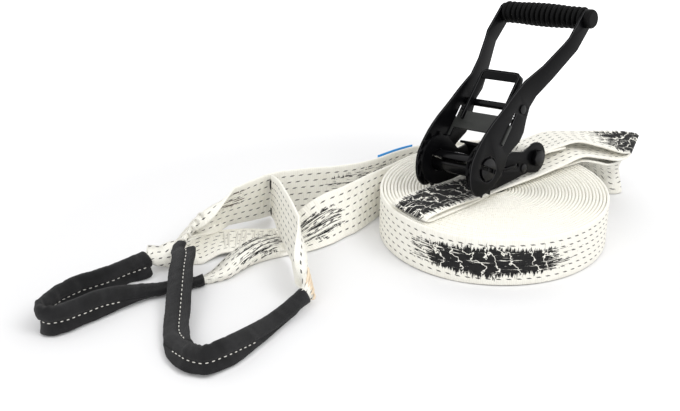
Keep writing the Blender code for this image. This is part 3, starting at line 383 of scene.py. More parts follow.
def cloth_piece(name, points, faces, spots, sides=()):
    """A piece of cloth with its own map and, for printed webbing, the side that each corner is on."""
    mesh = bpy.data.meshes.new(name)
    mesh.from_pydata(points.tolist(), [], faces)
    mesh.uv_layers.new(name="weave").data.foreach_set("uv", np.array(spots, np.float32).ravel())
    if sides:
        layer = mesh.attributes.new("outer_side", "FLOAT", "CORNER")
        layer.data.foreach_set("value", np.array(sides, np.float32))
    shape = bmesh.new()
    shape.from_mesh(mesh)
    return piece_of(name, shape, mesh)


def woven_strip(name, path, fold_side=1, thickness=WEBBING_THICKNESS):
    """A strip of webbing along a path. Its map is in metres, and its two sides are 1 and -1."""
    lengths, _, across, out = axes_of(path)
    count, last = len(WEBBING_SECTION), len(path) - 1
    thick = np.broadcast_to(thickness, len(path))
    points = np.array([[strip_point(row, across[index], out[index], share, height * thick[index], fold_side)
                        for share, height in WEBBING_SECTION] for index, row in enumerate(path)])
    points[:, :, 2] -= np.minimum(points[:, :, 2].min(axis=1), 0)[:, None]
    places = [(share + 0.5) * WEBBING_WIDTH for share, _ in WEBBING_SECTION]
    faces, spots = wall_of_rings(0, places + places[:1], lengths)
    sides = []
    for (_, height), (_, next_height) in zip(WEBBING_SECTION, WEBBING_SECTION[1:] + WEBBING_SECTION[:1]):
        middle = (height + next_height) / 2
        sides += [((middle > FACE_HEIGHT) - (middle < -FACE_HEIGHT)) * fold_side] * 4
    faces += [tuple(range(count))[::-1], tuple(range(last * count, (last + 1) * count))]
    spots += [(place, lengths[end]) for end in (0, last) for place in places]
    sides = sides * last + [0] * count * 2
    return cloth_piece(name, points.reshape(-1, 3), faces, spots, sides)


TRACER_ROWS = 6
TRACER_EDGE = 0.0070
TRACER_SPACING = 0.0072
TRACER_PITCH = 0.0098
TRACER_DASH_SHARE = 0.42
TRACER_HALF_WIDTH = 0.00062
TRACER_SLANT, TRACER_STAGGER = 1.6, 0.37
RIB_PITCH = 0.0021
WARP_PITCH = 0.0012
RIPPLE_PITCH = 0.0064
IVORY = (0.905, 0.89, 0.822)
# Colour of worn spots, and of the painted shade in the rib grooves
IVORY_WEAR_AND_PAINTED_GROOVE_SHADE = (0.80, 0.77, 0.675)
TRACER_BLACK = (0.018, 0.018, 0.022)
PRINT_BLACK = (0.010, 0.010, 0.011)
PRINT_BROWN = (0.11, 0.085, 0.065)
BRUSH_STREAKS, BRUSH_FRAYS, BRUSH_BLOTS = (560, 34), (60, 480), (70, 60)
HATCH_PITCH, HATCH_SLANT = 0.0180, 0.62
# Brushed bars: place, half length, from and to across the webbing, side, colour, and whether they are bold
MAIN_LINE_PRINTS = (
    ((-0.018, -0.116, 0.025), 0.084, 0.008, 0.042, 1, PRINT_BLACK, True),
    ((-0.1827, -0.016, 0.013), 0.034, 0.008, 0.040, -1, PRINT_BLACK, False),
    ((-0.2375, -0.051, 0.0), 0.040, 0.006, 0.040, -1, PRINT_BLACK, False),
)


def dry_brush(finish, across, along, outer, centre, half, low, high, side, bold):
    """Ink of one printed bar: a ragged brush band, cut by slanted gaps where it is bold."""
    streak = finish.grain(across, along, BRUSH_STREAKS, centre, 5.0, 0.68)
    frayed = finish.grain(across, along, BRUSH_FRAYS, centre + 3, 4.0, 0.7)
    blot = finish.grain(across, along, BRUSH_BLOTS, centre + 7)
    reach = 1 - abs((along - centre) / half)
    body = (reach + (streak - 0.5) * 2.1).rise(0.14, 0.22)
    aside = abs(across - (low + high) / 2) / ((high - low) / 2) + (1 - reach) * 0.40
    rim = (aside + (frayed - 0.5) * 1.5).rise(1.02, 0.90)
    ink = body * rim * (outer * side).rise(0.4, 0.6)
    if bold:
        slant = (along + across * HATCH_SLANT) / HATCH_PITCH + (blot - 0.5) * 3.2
        return ink * abs(slant.fraction() - 0.5).rise(0.465, 0.425) * streak.rise(0.34, 0.40)
    return ink * streak.rise(0.49, 0.55)


def spot_along(path, place):
    """How far along a path its nearest row to a place lies."""
    nearest = np.linalg.norm(path[:, :3] - np.array(place), axis=1).argmin()
    return lengths_along(path)[nearest]


def webbing_finish(name, path, prints):
    """Ivory webbing with ribs whose grooves are darkened by painted shade, black tracer threads, and brushed bars
    printed at places along its path.
    """
    finish = Finish(name, Roughness=0.85, Specular_IOR_Level=0.10, Sheen_Weight=0.05, Sheen_Roughness=0.5)
    across, along = finish.weave_map()
    outer = finish.node("ShaderNodeAttribute", {"attribute_name": "outer_side"}, {}, "Fac")
    row = (across - TRACER_EDGE) / TRACER_SPACING
    nearest = (row + 0.5).math("FLOOR")
    off = (row - nearest) * TRACER_SPACING
    on_row = abs(off).rise(TRACER_HALF_WIDTH * 1.25, TRACER_HALF_WIDTH * 0.75)
    on_row = on_row * nearest.math("GREATER_THAN", -0.5) * nearest.math("LESS_THAN", TRACER_ROWS - 0.5)
    dash = ((along + off * TRACER_SLANT) / TRACER_PITCH + nearest * TRACER_STAGGER).fraction()
    tracer = on_row * dash.rise(0.0, 0.05) * dash.rise(TRACER_DASH_SHARE + 0.05, TRACER_DASH_SHARE)
    wear = finish.grain(across, along, (60, 60), 0.0, 4.0)
    fibre = finish.grain(across, along, (2200, 500), 0.0, 2.0)
    rib = (along * (2 * pi / RIB_PITCH)).sine()
    warp = (across * (2 * pi / WARP_PITCH)).sine()
    # The rib grooves are darkened with painted shade, and worn spots darken at random to the same colour
    painted_groove_shade = rib.rise(-0.1, -0.95)
    colour = finish.blend(painted_groove_shade * 0.30 + wear.rise(0.35, 0.8) * 0.3, IVORY, IVORY_WEAR_AND_PAINTED_GROOVE_SHADE)
    colour = finish.blend(tracer * 0.92, colour, TRACER_BLACK)
    for place, half, low, high, side, ink_colour, bold in prints:
        ink = dry_brush(finish, across, along, outer, spot_along(path, place), half, low, high, side, bold)
        colour = finish.blend(ink * 0.99, colour, ink_colour)
    ripple = (along * (2 * pi / RIPPLE_PITCH) + finish.grain(across, along, (25, 18)) * 9).sine()
    height = rib * 0.5 + warp * 0.28 + fibre * 0.5 + tracer * 0.5 + ripple * 0.9
    finish.set(Base_Color=colour, Normal=finish.bump(height, 0.00028, 0.8))
    return finish.material


def webbing_piece(name, path, solids, prints=(), fold_side=1, thickness=WEBBING_THICKNESS):
    """A strip of webbing in place of solids of the straps."""
    piece = woven_strip(name, path, fold_side, thickness)
    piece.data.materials.append(webbing_finish(name + "_webbing", path, prints))
    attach(piece, "straps")
    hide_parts(*solids)
    return piece


def roll_rows():
    """The winding's rows from its middle outwards, each turn set a little higher or lower."""
    outer = ROLL_RADIUS - WEBBING_THICKNESS / 2
    rows = []
    for step in range(int((outer - ROLL_INNER_RADIUS) / ROLL_PITCH * ROLL_POINTS_PER_TURN), -1, -1):
        turns = step / ROLL_POINTS_PER_TURN
        angle = ROLL_EXIT_ANGLE - 2 * pi * turns
        radius = outer - ROLL_PITCH * turns
        radius += (ROLL_SWELL + ROLL_SWELL_LEFT * max(-cos(angle), 0)) * (radius / outer) ** 4
        lift = abs(noise.noise(Vector((cos(angle) * 1.3, sin(angle) * 1.3, turns * 0.9))))
        height = WEBBING_WIDTH / 2 + lift * TURN_UNEVENNESS * 2 * min(turns, 1)
        rows.append((radius * cos(angle), radius * sin(angle), height, 0, 0, 1, 1))
    return np.array(rows)


roll = roll_rows()
tail = smooth_route(beyond(roll, 1, ROLL_LEAD) + stations(TAIL_SHARES))
main_path = np.vstack([roll, led_in(tail, 0, TAIL_LEAD)])
main_thickness = np.where(np.arange(len(main_path)) < len(roll), ROLL_THICKNESS, WEBBING_THICKNESS)
main_line = webbing_piece("main_line", main_path, ("main_line_roll", "main_line_core", "main_line_tail"),
                          MAIN_LINE_PRINTS, thickness=main_thickness)

# Sewn end of the main line: the same webbing, which comes back out of the loop by the other branch and
# lies on the line, where it is sewn down.
SEWN_END_SHARES = (
    (-1.837, -0.272, 0, 100, 0, 1, 1.9), (-1.998, -0.281, 0, 92, 0, 1, 1.6),
    (-2.211, -0.264, 0, 90, 0, 1, 1.4), (-2.415, -0.293, 0, 105, 0, 1, 1.1),
    (-2.577, -0.4, 0, 125, 1, 1, 0.4), (-2.704, -0.536, 0, 135, 10, 0.82), (-2.819, -0.66, 0, 138, 30, 0.66),
    (-2.922, -0.78, 0, 140, 50, 0.56),
)
sewn_path = smooth_route(stations(SEWN_END_SHARES))
sewn_path_long = led_in(sewn_path, TUBE_ASIDE)
sewn_end = webbing_piece("main_line_sewn_end", sewn_path_long, ("main_line_loop_end",))

# Black sleeve on the main line's loop: a tube of dense cloth pulled over the folded webbing, and sewn along
# one edge with a row of white stitches. Its ends are open and show the webbing that goes in.
SLEEVE_WIDTH = 0.026
SLEEVE_THICKNESS = 0.0085
SLEEVE_CLOTH = 0.0008
CLOTH_LEAST = 0.00015
TUBE_WIDTH = 0.0150
FLANGE_HALF = 0.0013
FLANGE_EDGE_SHARES = (1.0, 0.93, 0.5)
FLANGE_FULL = 0.003
FLANGE_LEAST = 0.0006
FLANGE_SEWN = 0.0062
SEAM_IN = 0.0011
TUBE_POINTS, TUBE_FULLNESS = 15, 0.72
MOUTH_LENGTH = 0.010
MOUTH_FLARE = 0.10
MOUTH_SLANT = 0.12
FLANGE_START = (0.002, 0.007)
SCALLOP, SCALLOP_DEPTH = 0.0105, 0.0013
CREASE_RADIUS = 0.016
# Rucks, folds and ridges of the cloth: how close they lie along the sleeve and across it, and how deep
RUCKS, FOLDS, RIDGES, FOLD_SLANT, OTHER_FACE = (48, 70), (150, 26), (16, 210), 60, 7
RUCK_DEPTH, FOLD_DEPTH, CREASE_DEPTH, RIDGE_DEPTH, PUCKER_DEPTH = 0.0007, 0.0004, 0.0020, 0.0007, 0.00025
SEAM_REACH = 0.004
SLEEVE_WEAVE_PITCH = 0.0011
SLEEVE_STEP = 0.0025
STITCH_LENGTH = 0.0037
STITCH_GAP = 0.0023
STITCH_RADIUS = 0.00045
STITCH_RINGS, STITCH_CORNERS = 5, 6
MAIN_SLEEVE_SHARES = (
    (-2.636, -1.04, 0, 115, 6, 0.6), (-2.765, -1.112, 0, 118, 10, 0.6), (-2.912, -1.19, 0, 122, 30, 0.62),
    (-3.066, -1.315, 0, 130, 52, 0.8), (-3.216, -1.475, 0, 134, 66), (-3.34, -1.59, 0, 130, 68),
    (-3.46, -1.705, 0, 122, 68, 1.04), (-3.545, -1.75, 0, 95, 76, 1.08), (-3.616, -1.722, 0, 40, 86, 1.08),
    (-3.637, -1.628, 0, 5, 90, 1.08), (-3.604, -1.515, 0, -25, 94, 1.04), (-3.54, -1.36, 0, -38, 95),
    (-3.44, -1.236, 0, -47, 95), (-3.32, -1.15, 0, -52, 96), (-3.2, -1.06, 0, -50, 98),
    (-3.06, -0.925, 0, -46, 100),
)


def sleeve_path(shares, start_path, end_path):
    """A sleeve's path, from the end of one strip to the end of another, or to its own last row."""
    rows = stations(shares, SLEEVE_THICKNESS, SLEEVE_WIDTH / WEBBING_WIDTH)
    joined = []
    for strip, neighbour in ((start_path, rows[0]), (end_path, rows[-1])):
        ends = beyond(strip, neighbour[6], SLEEVE_THICKNESS) if strip is not None else []
        joined.append([row if np.dot(row[3:6], neighbour[3:6]) > 0 else (*row[:3], *(-np.array(row[3:6])), row[6])
                       for row in ends])
    return smooth_route(joined[0] + rows + joined[1][::-1], SLEEVE_STEP)


def eased(value, low, high):
    """0 below low, 1 above high, smooth between."""
    share = min(max((value - low) / (high - low), 0), 1)
    return share * share * (3 - 2 * share)


def flange_places(reach):
    """One flange from its edge inwards: distances from the tube, and heights."""
    high = FLANGE_HALF * min(reach / FLANGE_FULL, 1)
    edge = [(reach * share, high * (share < 1)) for share in FLANGE_EDGE_SHARES]
    return edge + [(min(SEAM_IN, reach / 2), high * 0.8)]


def sleeve_ring(minus, plus):
    """Places and heights round a sleeve: a plump tube with a sewn flange on either side of it."""
    half = TUBE_WIDTH / 2
    upper = [(-half - place, height) for place, height in flange_places(minus)]
    for step in range(TUBE_POINTS):
        angle = pi - pi * (step + 0.5) / TUBE_POINTS
        upper.append((half * cos(angle), SLEEVE_THICKNESS / 2 * sin(angle) ** TUBE_FULLNESS))
    upper += [(half + place, height) for place, height in flange_places(plus)[::-1]]
    return upper + [(place, -height) for place, height in upper[-2:0:-1]]


MINUS_SEAM, PLUS_SEAM = len(FLANGE_EDGE_SHARES), len(FLANGE_EDGE_SHARES) + TUBE_POINTS + 1


def sleeve_tube(name, path, plus_share, seed, flange_start=FLANGE_START):
    """A thin-walled cloth tube along a path, rucked at its seam and folded where it bends.

    plus_share gives, at each length, how much of the flange is on the side that the path's across
    direction points to. Also gives the lines that the stitches follow, with what stands up from them.
    """
    lengths, along, across, out = axes_of(path)
    bend = np.gradient(along, axis=0) / np.gradient(lengths)[:, None]
    turning, inner = np.linalg.norm(bend, axis=1), np.sign((bend * across).sum(axis=1))
    rings, flanges = [], []
    for index, row in enumerate(path):
        where = lengths[index]
        near_end = min(where, lengths[-1] - where)
        flange = max(row[6] * WEBBING_WIDTH - TUBE_WIDTH, FLANGE_LEAST)
        share = plus_share(where)
        centre = flange * (0.5 - share)
        flange *= 0.05 + 0.95 * eased(near_end, *flange_start)
        minus, plus = flange * (1 - share), flange * share
        flanges.append((minus, plus))
        crease = min(turning[index] * CREASE_RADIUS, 1.0)
        flare = 1 + MOUTH_FLARE * (1 - eased(near_end, 0.0, MOUTH_LENGTH))
        wave = 2 * pi * where / SCALLOP + 3 * noise.noise(Vector((where * 60, seed, 0)))
        scallop = crease * SCALLOP_DEPTH * (0.5 - 0.5 * sin(wave))
        ring = []
        for place, height in sleeve_ring(minus, plus):
            upper = OTHER_FACE if height > 0 else 0
            ruck = noise.noise(Vector((where * RUCKS[0], place * RUCKS[1] + upper, seed)))
            fold = noise.noise(Vector((where * FOLDS[0] + place * FOLD_SLANT, place * FOLDS[1] + upper, seed + 5)))
            ridge = noise.noise(Vector((where * RIDGES[0], place * RIDGES[1] + upper, seed + 9)))
            pucker = sin(2 * pi * where / (STITCH_LENGTH + STITCH_GAP)) * PUCKER_DEPTH
            seam_near = max(0, 1 - abs(abs(place) - TUBE_WIDTH / 2) / SEAM_REACH)
            grow = ruck * RUCK_DEPTH + fold * (FOLD_DEPTH + crease * CREASE_DEPTH)
            grow += ridge * RIDGE_DEPTH + pucker * seam_near
            height *= flare * (1 + grow / max(abs(height), 0.0014))
            place *= flare * (1 + ruck * 0.035 + fold * 0.015 * (1 + crease * 3))
            place -= inner[index] * scallop * eased(place * inner[index], 0.0, TUBE_WIDTH / 2)
            ring.append((place + centre, height))
        rings.append(ring)
    points, count = [], len(rings[0])
    for shrink in (0.0, SLEEVE_CLOTH):
        for index, ring in enumerate(rings):
            slant = MOUTH_SLANT * (eased(lengths[-1] - lengths[index], 0.0, MOUTH_LENGTH * 2)
                                   - eased(lengths[index], 0.0, MOUTH_LENGTH * 2))
            for place, height in ring:
                thin = copysign(max(abs(height) - shrink, CLOTH_LEAST), height) if height else 0.0
                inward = place * (1 - shrink / (SLEEVE_WIDTH / 2))
                points.append(path[index, :3] + across[index] * inward + out[index] * thin
                              + along[index] * slant * place)
    total = len(path) * count
    points = np.array(points)
    sunk = np.minimum(points[:total, 2].reshape(len(path), count).min(axis=1), 0)
    points[:, 2] -= np.tile(np.repeat(sunk, count), 2)
    girth = 2 * (SLEEVE_WIDTH + SLEEVE_THICKNESS)
    places = [girth * corner / count for corner in range(count + 1)]
    outer_wall, inner_wall = wall_of_rings(0, places, lengths), wall_of_rings(total, places, lengths)
    faces, spots = outer_wall[0] + inner_wall[0], outer_wall[1] + inner_wall[1]
    for ring in (0, len(path) - 1):
        faces += quads_between(ring * count, total + ring * count, count)
        spots += [(place, lengths[ring]) for place in places[:-1] for _ in range(4)]
    piece = cloth_piece(name, points, faces, spots)
    skin = points[:total].reshape(len(path), count, 3)
    lines = []
    for side, spot in ((0, MINUS_SEAM), (1, PLUS_SEAM)):
        wide = np.array([flange[side] for flange in flanges]) > FLANGE_SEWN
        lines += [(skin[:, spot], out, wide), (skin[:, (count - spot) % count], -out, wide)]
    return piece, lines


def thread_ring(shape, centre, first, second, count):
    """A ring of corners round a thread, whose radius is the length of the two directions."""
    return [shape.verts.new(centre + first * cos(turn) + second * sin(turn))
            for turn in (2 * pi * step / count for step in range(count))]


def join_rings(shape, rings):
    """Faces from each ring of corners to the next."""
    for here, there in zip(rings, rings[1:]):
        for turn in range(len(here)):
            after = (turn + 1) % len(here)
            shape.faces.new((here[turn], here[after], there[after], there[turn]))


def sewn_on(name, shape, thread):
    """A piece of thread that stays with the straps."""
    piece = piece_of(name, shape)
    piece.data.materials.append(thread)
    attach(piece, "straps")
    return piece


def thread_stitches(name, thread, lines, stitch=STITCH_LENGTH, gap=STITCH_GAP, radius=STITCH_RADIUS):
    """Rows of thread stitches: each line is its points, what stands up from them, and where it runs.

    With no stitch length, one stitch takes the whole line.
    """
    shape = bmesh.new()
    for spots, up_rows, runs in lines:
        lengths = lengths_along(spots)

        def between(rows, where):
            return Vector([np.interp(where, lengths, rows[:, axis]) for axis in range(3)])
        start = gap
        length = stitch or lengths[-1] - 2.1 * gap
        while start + length < lengths[-1] - gap:
            if np.interp(start, lengths, runs) > 0.5:
                rings = []
                # The thread rises out of the cloth, arches over it, and sinks in again
                for step in range(STITCH_RINGS):
                    where = start + length * step / (STITCH_RINGS - 1)
                    centre = between(spots, where)
                    up = between(up_rows, where).normalized()
                    aside = up.cross(between(spots, where + 0.001) - centre).normalized()
                    bow = (2 * step / (STITCH_RINGS - 1) - 1) ** 2
                    fat = radius * sqrt(max(1 - bow * bow, 0.08))
                    centre += up * radius * (0.45 - 1.3 * bow)
                    rings.append(thread_ring(shape, centre, aside * fat, up * fat, STITCH_CORNERS))
                join_rings(shape, rings)
                shape.faces.new(rings[0])
                shape.faces.new(rings[-1])
            start += length + gap
    return sewn_on(name, shape, thread)


def sleeve_finish():
    """Charcoal cloth with a fine weave, dusty and a little worn."""
    finish = Finish("black_sleeve_cloth", Roughness=0.95, Specular_IOR_Level=0.10, Sheen_Weight=0.10,
                    Sheen_Roughness=0.6)
    across, along = finish.weave_map()
    warp = (across * (2 * pi / SLEEVE_WEAVE_PITCH)).sine()
    weft = (along * (2 * pi / SLEEVE_WEAVE_PITCH)).sine()
    dust = finish.noise(finish.place(), 45.0, 5.0, 0.6)
    fibre = finish.noise(finish.place(), 1500.0, 2.0)
    share = dust.rise(0.35, 0.75) * 0.5 + warp * weft * 0.12 + fibre * 0.2
    height = warp * weft * 0.6 + fibre * 0.9 + dust * 2.0
    finish.set(Base_Color=finish.blend(share, (0.008, 0.008, 0.0085), (0.024, 0.024, 0.0255)),
               Normal=finish.bump(height, 0.0003, 0.8))
    return finish.material


def grained_finish(name, first, second, scale=1800.0, detail=2.0, depth=0.0002, strength=0.7, **constants):
    """A finish of two near colours in a fine grain, which is slightly raised, and that grain."""
    finish = Finish(name, **constants)
    grain = finish.noise(finish.place(), scale, detail)
    finish.set(Base_Color=finish.blend(grain, first, second), Normal=finish.bump(grain, depth, strength))
    return finish, grain


def thread_finish(name, colour, shade):
    return grained_finish(name, colour, shade, Roughness=0.7, Specular_IOR_Level=0.3)[0].material


def sewn_sleeve(name, path, plus_share, seed, flange_start=FLANGE_START):
    """A sleeve with its stitches, in place of the solid of that name."""
    sleeve, seams = sleeve_tube(name + "_cloth", path, plus_share, seed, flange_start)
    stitches = thread_stitches(name + "_stitches", white_thread, seams)
    sleeve.data.materials.append(black_cloth)
    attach(sleeve, "straps")
    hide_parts(name)


black_cloth = sleeve_finish()
white_thread = thread_finish("white_thread", (0.86, 0.85, 0.80), (0.60, 0.58, 0.52))
sewn_sleeve("main_loop_sleeve", sleeve_path(MAIN_SLEEVE_SHARES, tail, sewn_path), lambda where: 0, 2.0)

# Stitching of the main line's sewn end: a ladder of thick white bar tacks in polyester thread, sewn by
# machine through both layers, which pull the cloth into ribs.
TACK_PITCH = 0.0055
TACK_GAP, TACK_RADIUS = 0.0008, 0.0011
SEWN_START, SEWN_LENGTH = 0.006, 0.062
SEWN_SHARES = (-0.46, 0.46)
SEWN_SIDE = -1
BAR_POINTS = 9


def folded_size(width_share):
    """The width of a strip once its sides are folded over, and how far its faces are from its middle."""
    turn, squeezed = fold_of(width_share)
    width = (WEBBING_WIDTH - 2 * (FOLD_FLAP - FOLD_RADIUS) * turn / pi) * (1 - squeezed * SQUEEZE)
    return width, WEBBING_THICKNESS / 2 + FOLD_RADIUS * turn / pi


def bars_across(path, places, shares, side):
    """Lines across a strip at lengths along it, between two shares of its folded width, on one face."""
    lengths, _, across, out = axes_of(path)
    lines = []
    for where in places:
        index = np.abs(lengths - where).argmin()
        width, lift = folded_size(path[index, 6])
        spots = np.array([path[index, :3] + across[index] * share * width + out[index] * side * lift
                          for share in np.linspace(*shares, BAR_POINTS)])
        lines.append((spots, np.repeat([out[index] * side], BAR_POINTS, axis=0), np.ones(BAR_POINTS)))
    return lines


ladder = [SEWN_START + TACK_PITCH * step for step in range(int(SEWN_LENGTH / TACK_PITCH))]
sewn_bars = thread_stitches("main_line_sewn_bars", white_thread,
                            bars_across(sewn_path, ladder, SEWN_SHARES, SEWN_SIDE), None, TACK_GAP, TACK_RADIUS)

# Ratchet strap: the same webbing, about 1.5 m. Its sewn eye goes round the ratchet's tube, then it lies in
# three folds on the roll, drops over the roll's edge and runs behind it to the left, into its loop.
SPACER_RADIUS = 0.0075
BOLT_CENTRE = Vector((0.023332, 0.042519, 0.071482))
RATCHET_ACROSS = Vector((0.703338, -0.698444, 0.132256))
FRAME_ALONG = Vector((0.710584, 0.695942, -0.103610))
FRAME_UP = RATCHET_ACROSS.cross(FRAME_ALONG)
EYE_OPENING_ANGLE = radians(52.0)
EYE_NECK = 0.0200
EYE_SEWN_LENGTH = 0.0500
EYE_TAIL_LENGTH = 0.0620
EYE_POINTS = 24
STRAP_PRINTS = (
    ((-0.1290, 0.0740, 0.025), 0.046, 0.006, 0.044, -1, PRINT_BLACK, False),
    ((-0.0600, -0.0385, 0.056), 0.068, 0.000, 0.050, 1, PRINT_BLACK, True),
    ((0.1480, 0.0960, 0.0560), 0.066, -0.006, 0.056, -1, PRINT_BLACK, True),
    ((-0.2944, -0.0228, 0.031), 0.044, 0.022, 0.050, -1, PRINT_BROWN, False),
)
PILE_SHARES = (
    (0.714, 0.791, 1.306, -50, 5), (0.952, 0.833, 1.268, -62, 0), (1.19, 0.799, 1.18, -80, -6),
    (1.335, 0.825, 1.135, -100, -6), (1.412, 0.85, 1.09, -112, -4), (1.335, 0.825, 1.03, -100, -3),
    (1.19, 0.765, 1.03, -84, -3), (0.952, 0.74, 1.086, -62, 0), (0.748, 0.655, 1.186, -53, 0),
    (0.51, 0.485, 1.126, -52, 0), (0.255, 0.289, 1.09, -52, 0), (-0.043, 0.06, 1.08, -52, 0),
    (-0.298, -0.153, 1.092, -52, 0), (-0.527, -0.34, 1.116, -52, 0), (-0.697, -0.493, 1.112, -51, 0),
    (-0.744, -0.536, 1.098, -51, 0), (-0.774, -0.565, 1.054, -51, 0), (-0.744, -0.536, 1.014, -51, 0),
    (-0.553, -0.366, 1.003, -52, 0), (-0.272, -0.102, 1, -52, 0), (-0.077, 0.111, 1, -52, 0),
    (0.221, 0.366, 1, -52, 0), (0.425, 0.519, 1, -52, 0), (0.629, 0.646, 1, -55, 0),
    (0.782, 0.714, 1.004, -62, 2),
)
RUN_SHARES = (
    (0.952, 0.748, 0.74, -72, 14), (1.105, 0.736, 0.35, -80, 36), (1.224, 0.748, 0.02, -50, 70),
    (1.284, 0.825, 0, -10, 102), (1.241, 0.927, 0, 25, 108), (1.131, 1.012, 0, 50, 104),
    (0.952, 1.071, 0, 68, 98), (0.748, 1.105, 0, 80, 94), (0.468, 1.114, 0, 88, 90), (0.128, 1.11, 0, 92, 90),
    (-0.17, 1.088, 0, 97, 90), (-0.425, 1.033, 0, 105, 90), (-0.655, 0.948, 0, 115, 90),
    (-0.833, 0.825, 0, 126, 90), (-0.986, 0.689, 0, 131, 90), (-1.165, 0.57, 0, 122, 90),
    (-1.352, 0.502, 0, 110, 90), (-1.531, 0.463, 0, 102, 90), (-1.709, 0.425, 0, 102, 90),
    (-1.871, 0.366, 0.01, 110, 90), (-1.998, 0.281, 0.03, 124, 90), (-2.109, 0.174, 0.05, 136, 95),
    (-2.228, 0.06, 0.085, 133, 102), (-2.364, -0.058, 0.135, 131, 108, 0.94),
    (-2.49, -0.18, 0.165, 134, 113, 0.84), (-2.585, -0.31, 0.2, 146, 119, 0.72),
    (-2.65, -0.445, 0.235, 160, 128, 0.6), (-2.664, -0.6, 0.285, 172, 142, 0.5),
)


def eye_rows():
    """The strap's sewn eye: in under the anchor tube, round it, and out on top."""
    layer = WEBBING_THICKNESS / 2 + GAP
    radius = SPACER_RADIUS + GAP + WEBBING_THICKNESS / 2

    def at(along, up):
        return (*(BOLT_CENTRE + FRAME_ALONG * along + FRAME_UP * up), *RATCHET_ACROSS, 1)
    turns = np.linspace(-EYE_OPENING_ANGLE, EYE_OPENING_ANGLE - 2 * pi, EYE_POINTS)
    return ([at(EYE_TAIL_LENGTH, -layer), at(EYE_NECK, -layer)]
            + [at(radius * cos(turn), radius * sin(turn)) for turn in turns]
            + [at(EYE_NECK, layer), at(EYE_SEWN_LENGTH, layer)])


strap_path = smooth_route(eye_rows() + stations(PILE_SHARES + RUN_SHARES))
strap_path_long = led_in(strap_path, -TUBE_ASIDE)
ratchet_strap = webbing_piece("ratchet_strap", strap_path_long, ("ratchet_strap_pile", "ratchet_strap_run"),
                              STRAP_PRINTS, fold_side=-1)

# The ratchet strap's end: the right leg of its loop, in the same webbing. It is sewn to the strap at the
# top of the loop, comes down over the main line, and narrows into the front mouth of the black sleeve.
LEG_SHARES = (
    (-1.963, 0.251, 0.04, -150, 90), (-1.93, 0.136, 0.11, -160, 92), (-1.895, -0.043, 0.092, -165, 95, 1, 2),
    (-1.842, -0.255, 0.098, -163, 98, 1, 2), (-1.777, -0.476, 0.062, -162, 99, 1, 2),
    (-1.703, -0.697, 0.09, -163, 98, 0.96), (-1.65, -0.901, 0.06, -169, 93, 0.9),
    (-1.62, -1.08, 0.05, 179, 87, 0.8), (-1.605, -1.23, 0.06, 170, 77, 0.66),
    (-1.607, -1.31, 0.07, 166, 70, 0.56), (-1.682, -1.44, 0.03, 156, 54, 0.5),
)
LEG_LEAD, LEG_HIDDEN = 0.052, 0.010
LEG_FOLD_SIDE = 1

leg_path = smooth_route(stations(LEG_SHARES))
leg_path_long = led_in(leg_path, 0, LEG_LEAD, LEG_HIDDEN)
right_leg = webbing_piece("ratchet_strap_right_leg", leg_path_long, ("ratchet_strap_loop_end",),
                          fold_side=LEG_FOLD_SIDE)

# Black sleeve on the ratchet strap's loop: made as the other one, of the same cloth and thread. Its flange
# lies on one side as far as the sleeve's corner, and on the other side after it.
RATCHET_SLEEVE_SHARES = (
    (-2.638, -0.799, 0.3, 0, 24), (-2.63, -1.003, 0.27, 0, 22), (-2.619, -1.233, 0.2, 0, 22),
    (-2.602, -1.531, 0.06, 0, 22), (-2.581, -1.811, 0, 0, 24), (-2.534, -2.058, 0, 15, 30),
    (-2.44, -2.219, 0, 42, 44), (-2.321, -2.27, 0, 90, 58), (-2.168, -2.168, 0, 132, 62),
    (-2.024, -1.964, 0, 146, 58, 0.84), (-1.888, -1.735, 0, 150, 50, 0.66),
    (-1.774, -1.57, 0.04, 150, 44, 0.6), (-1.682, -1.44, 0.08, 156, 54, 0.6),
    (-1.628, -1.352, 0.088, 160, 60, 0.6),
)
SLEEVE_CORNER = (-0.292, -0.256, 0.008)
FLANGE_CROSSING = (-0.044, 0.004)
FRONT_FLANGE_START = (0.016, 0.021)

ratchet_sleeve_path = sleeve_path(RATCHET_SLEEVE_SHARES, strap_path, None)
crossing = [spot_along(ratchet_sleeve_path, SLEEVE_CORNER) + beside for beside in FLANGE_CROSSING]
sewn_sleeve("ratchet_loop_sleeve", ratchet_sleeve_path, lambda where: 1 - eased(where, *crossing), 9.0,
            FRONT_FLANGE_START)

# Stitching on the legs of the ratchet strap's loop: wraps of thick thread round the folded left leg, raised
# bars of it on the right leg, and dark bar tacks where the strap's end is sewn to the strap, whose dark colour
# is also a painted shadow along that seam. All of it is polyester thread, sewn by machine.
LEFT_WRAPS, RIGHT_WRAPS = 5, 5
WRAP_PITCH = 0.0078
LEFT_WRAP_START, LEFT_WRAP_RADIUS = 0.004, 0.0012
LOOP_POINTS, LOOP_CORNERS, LOOP_ROUNDNESS = 14, 5, 0.6
RIGHT_WRAP_SHARES = (-0.25, 0.21)
RIGHT_WRAP_REACH, RIGHT_WRAP_RADIUS = (0.0310, 0.0050), 0.0015
SEAM_SIDE, SEAM_RADIUS = 1, 0.0007
SEAM_PLACES = (0.0010, 0.0028)
SEAM_SHARES = ((-0.47, -0.22), (0.10, 0.46))
BAR_GAP = 0.0003


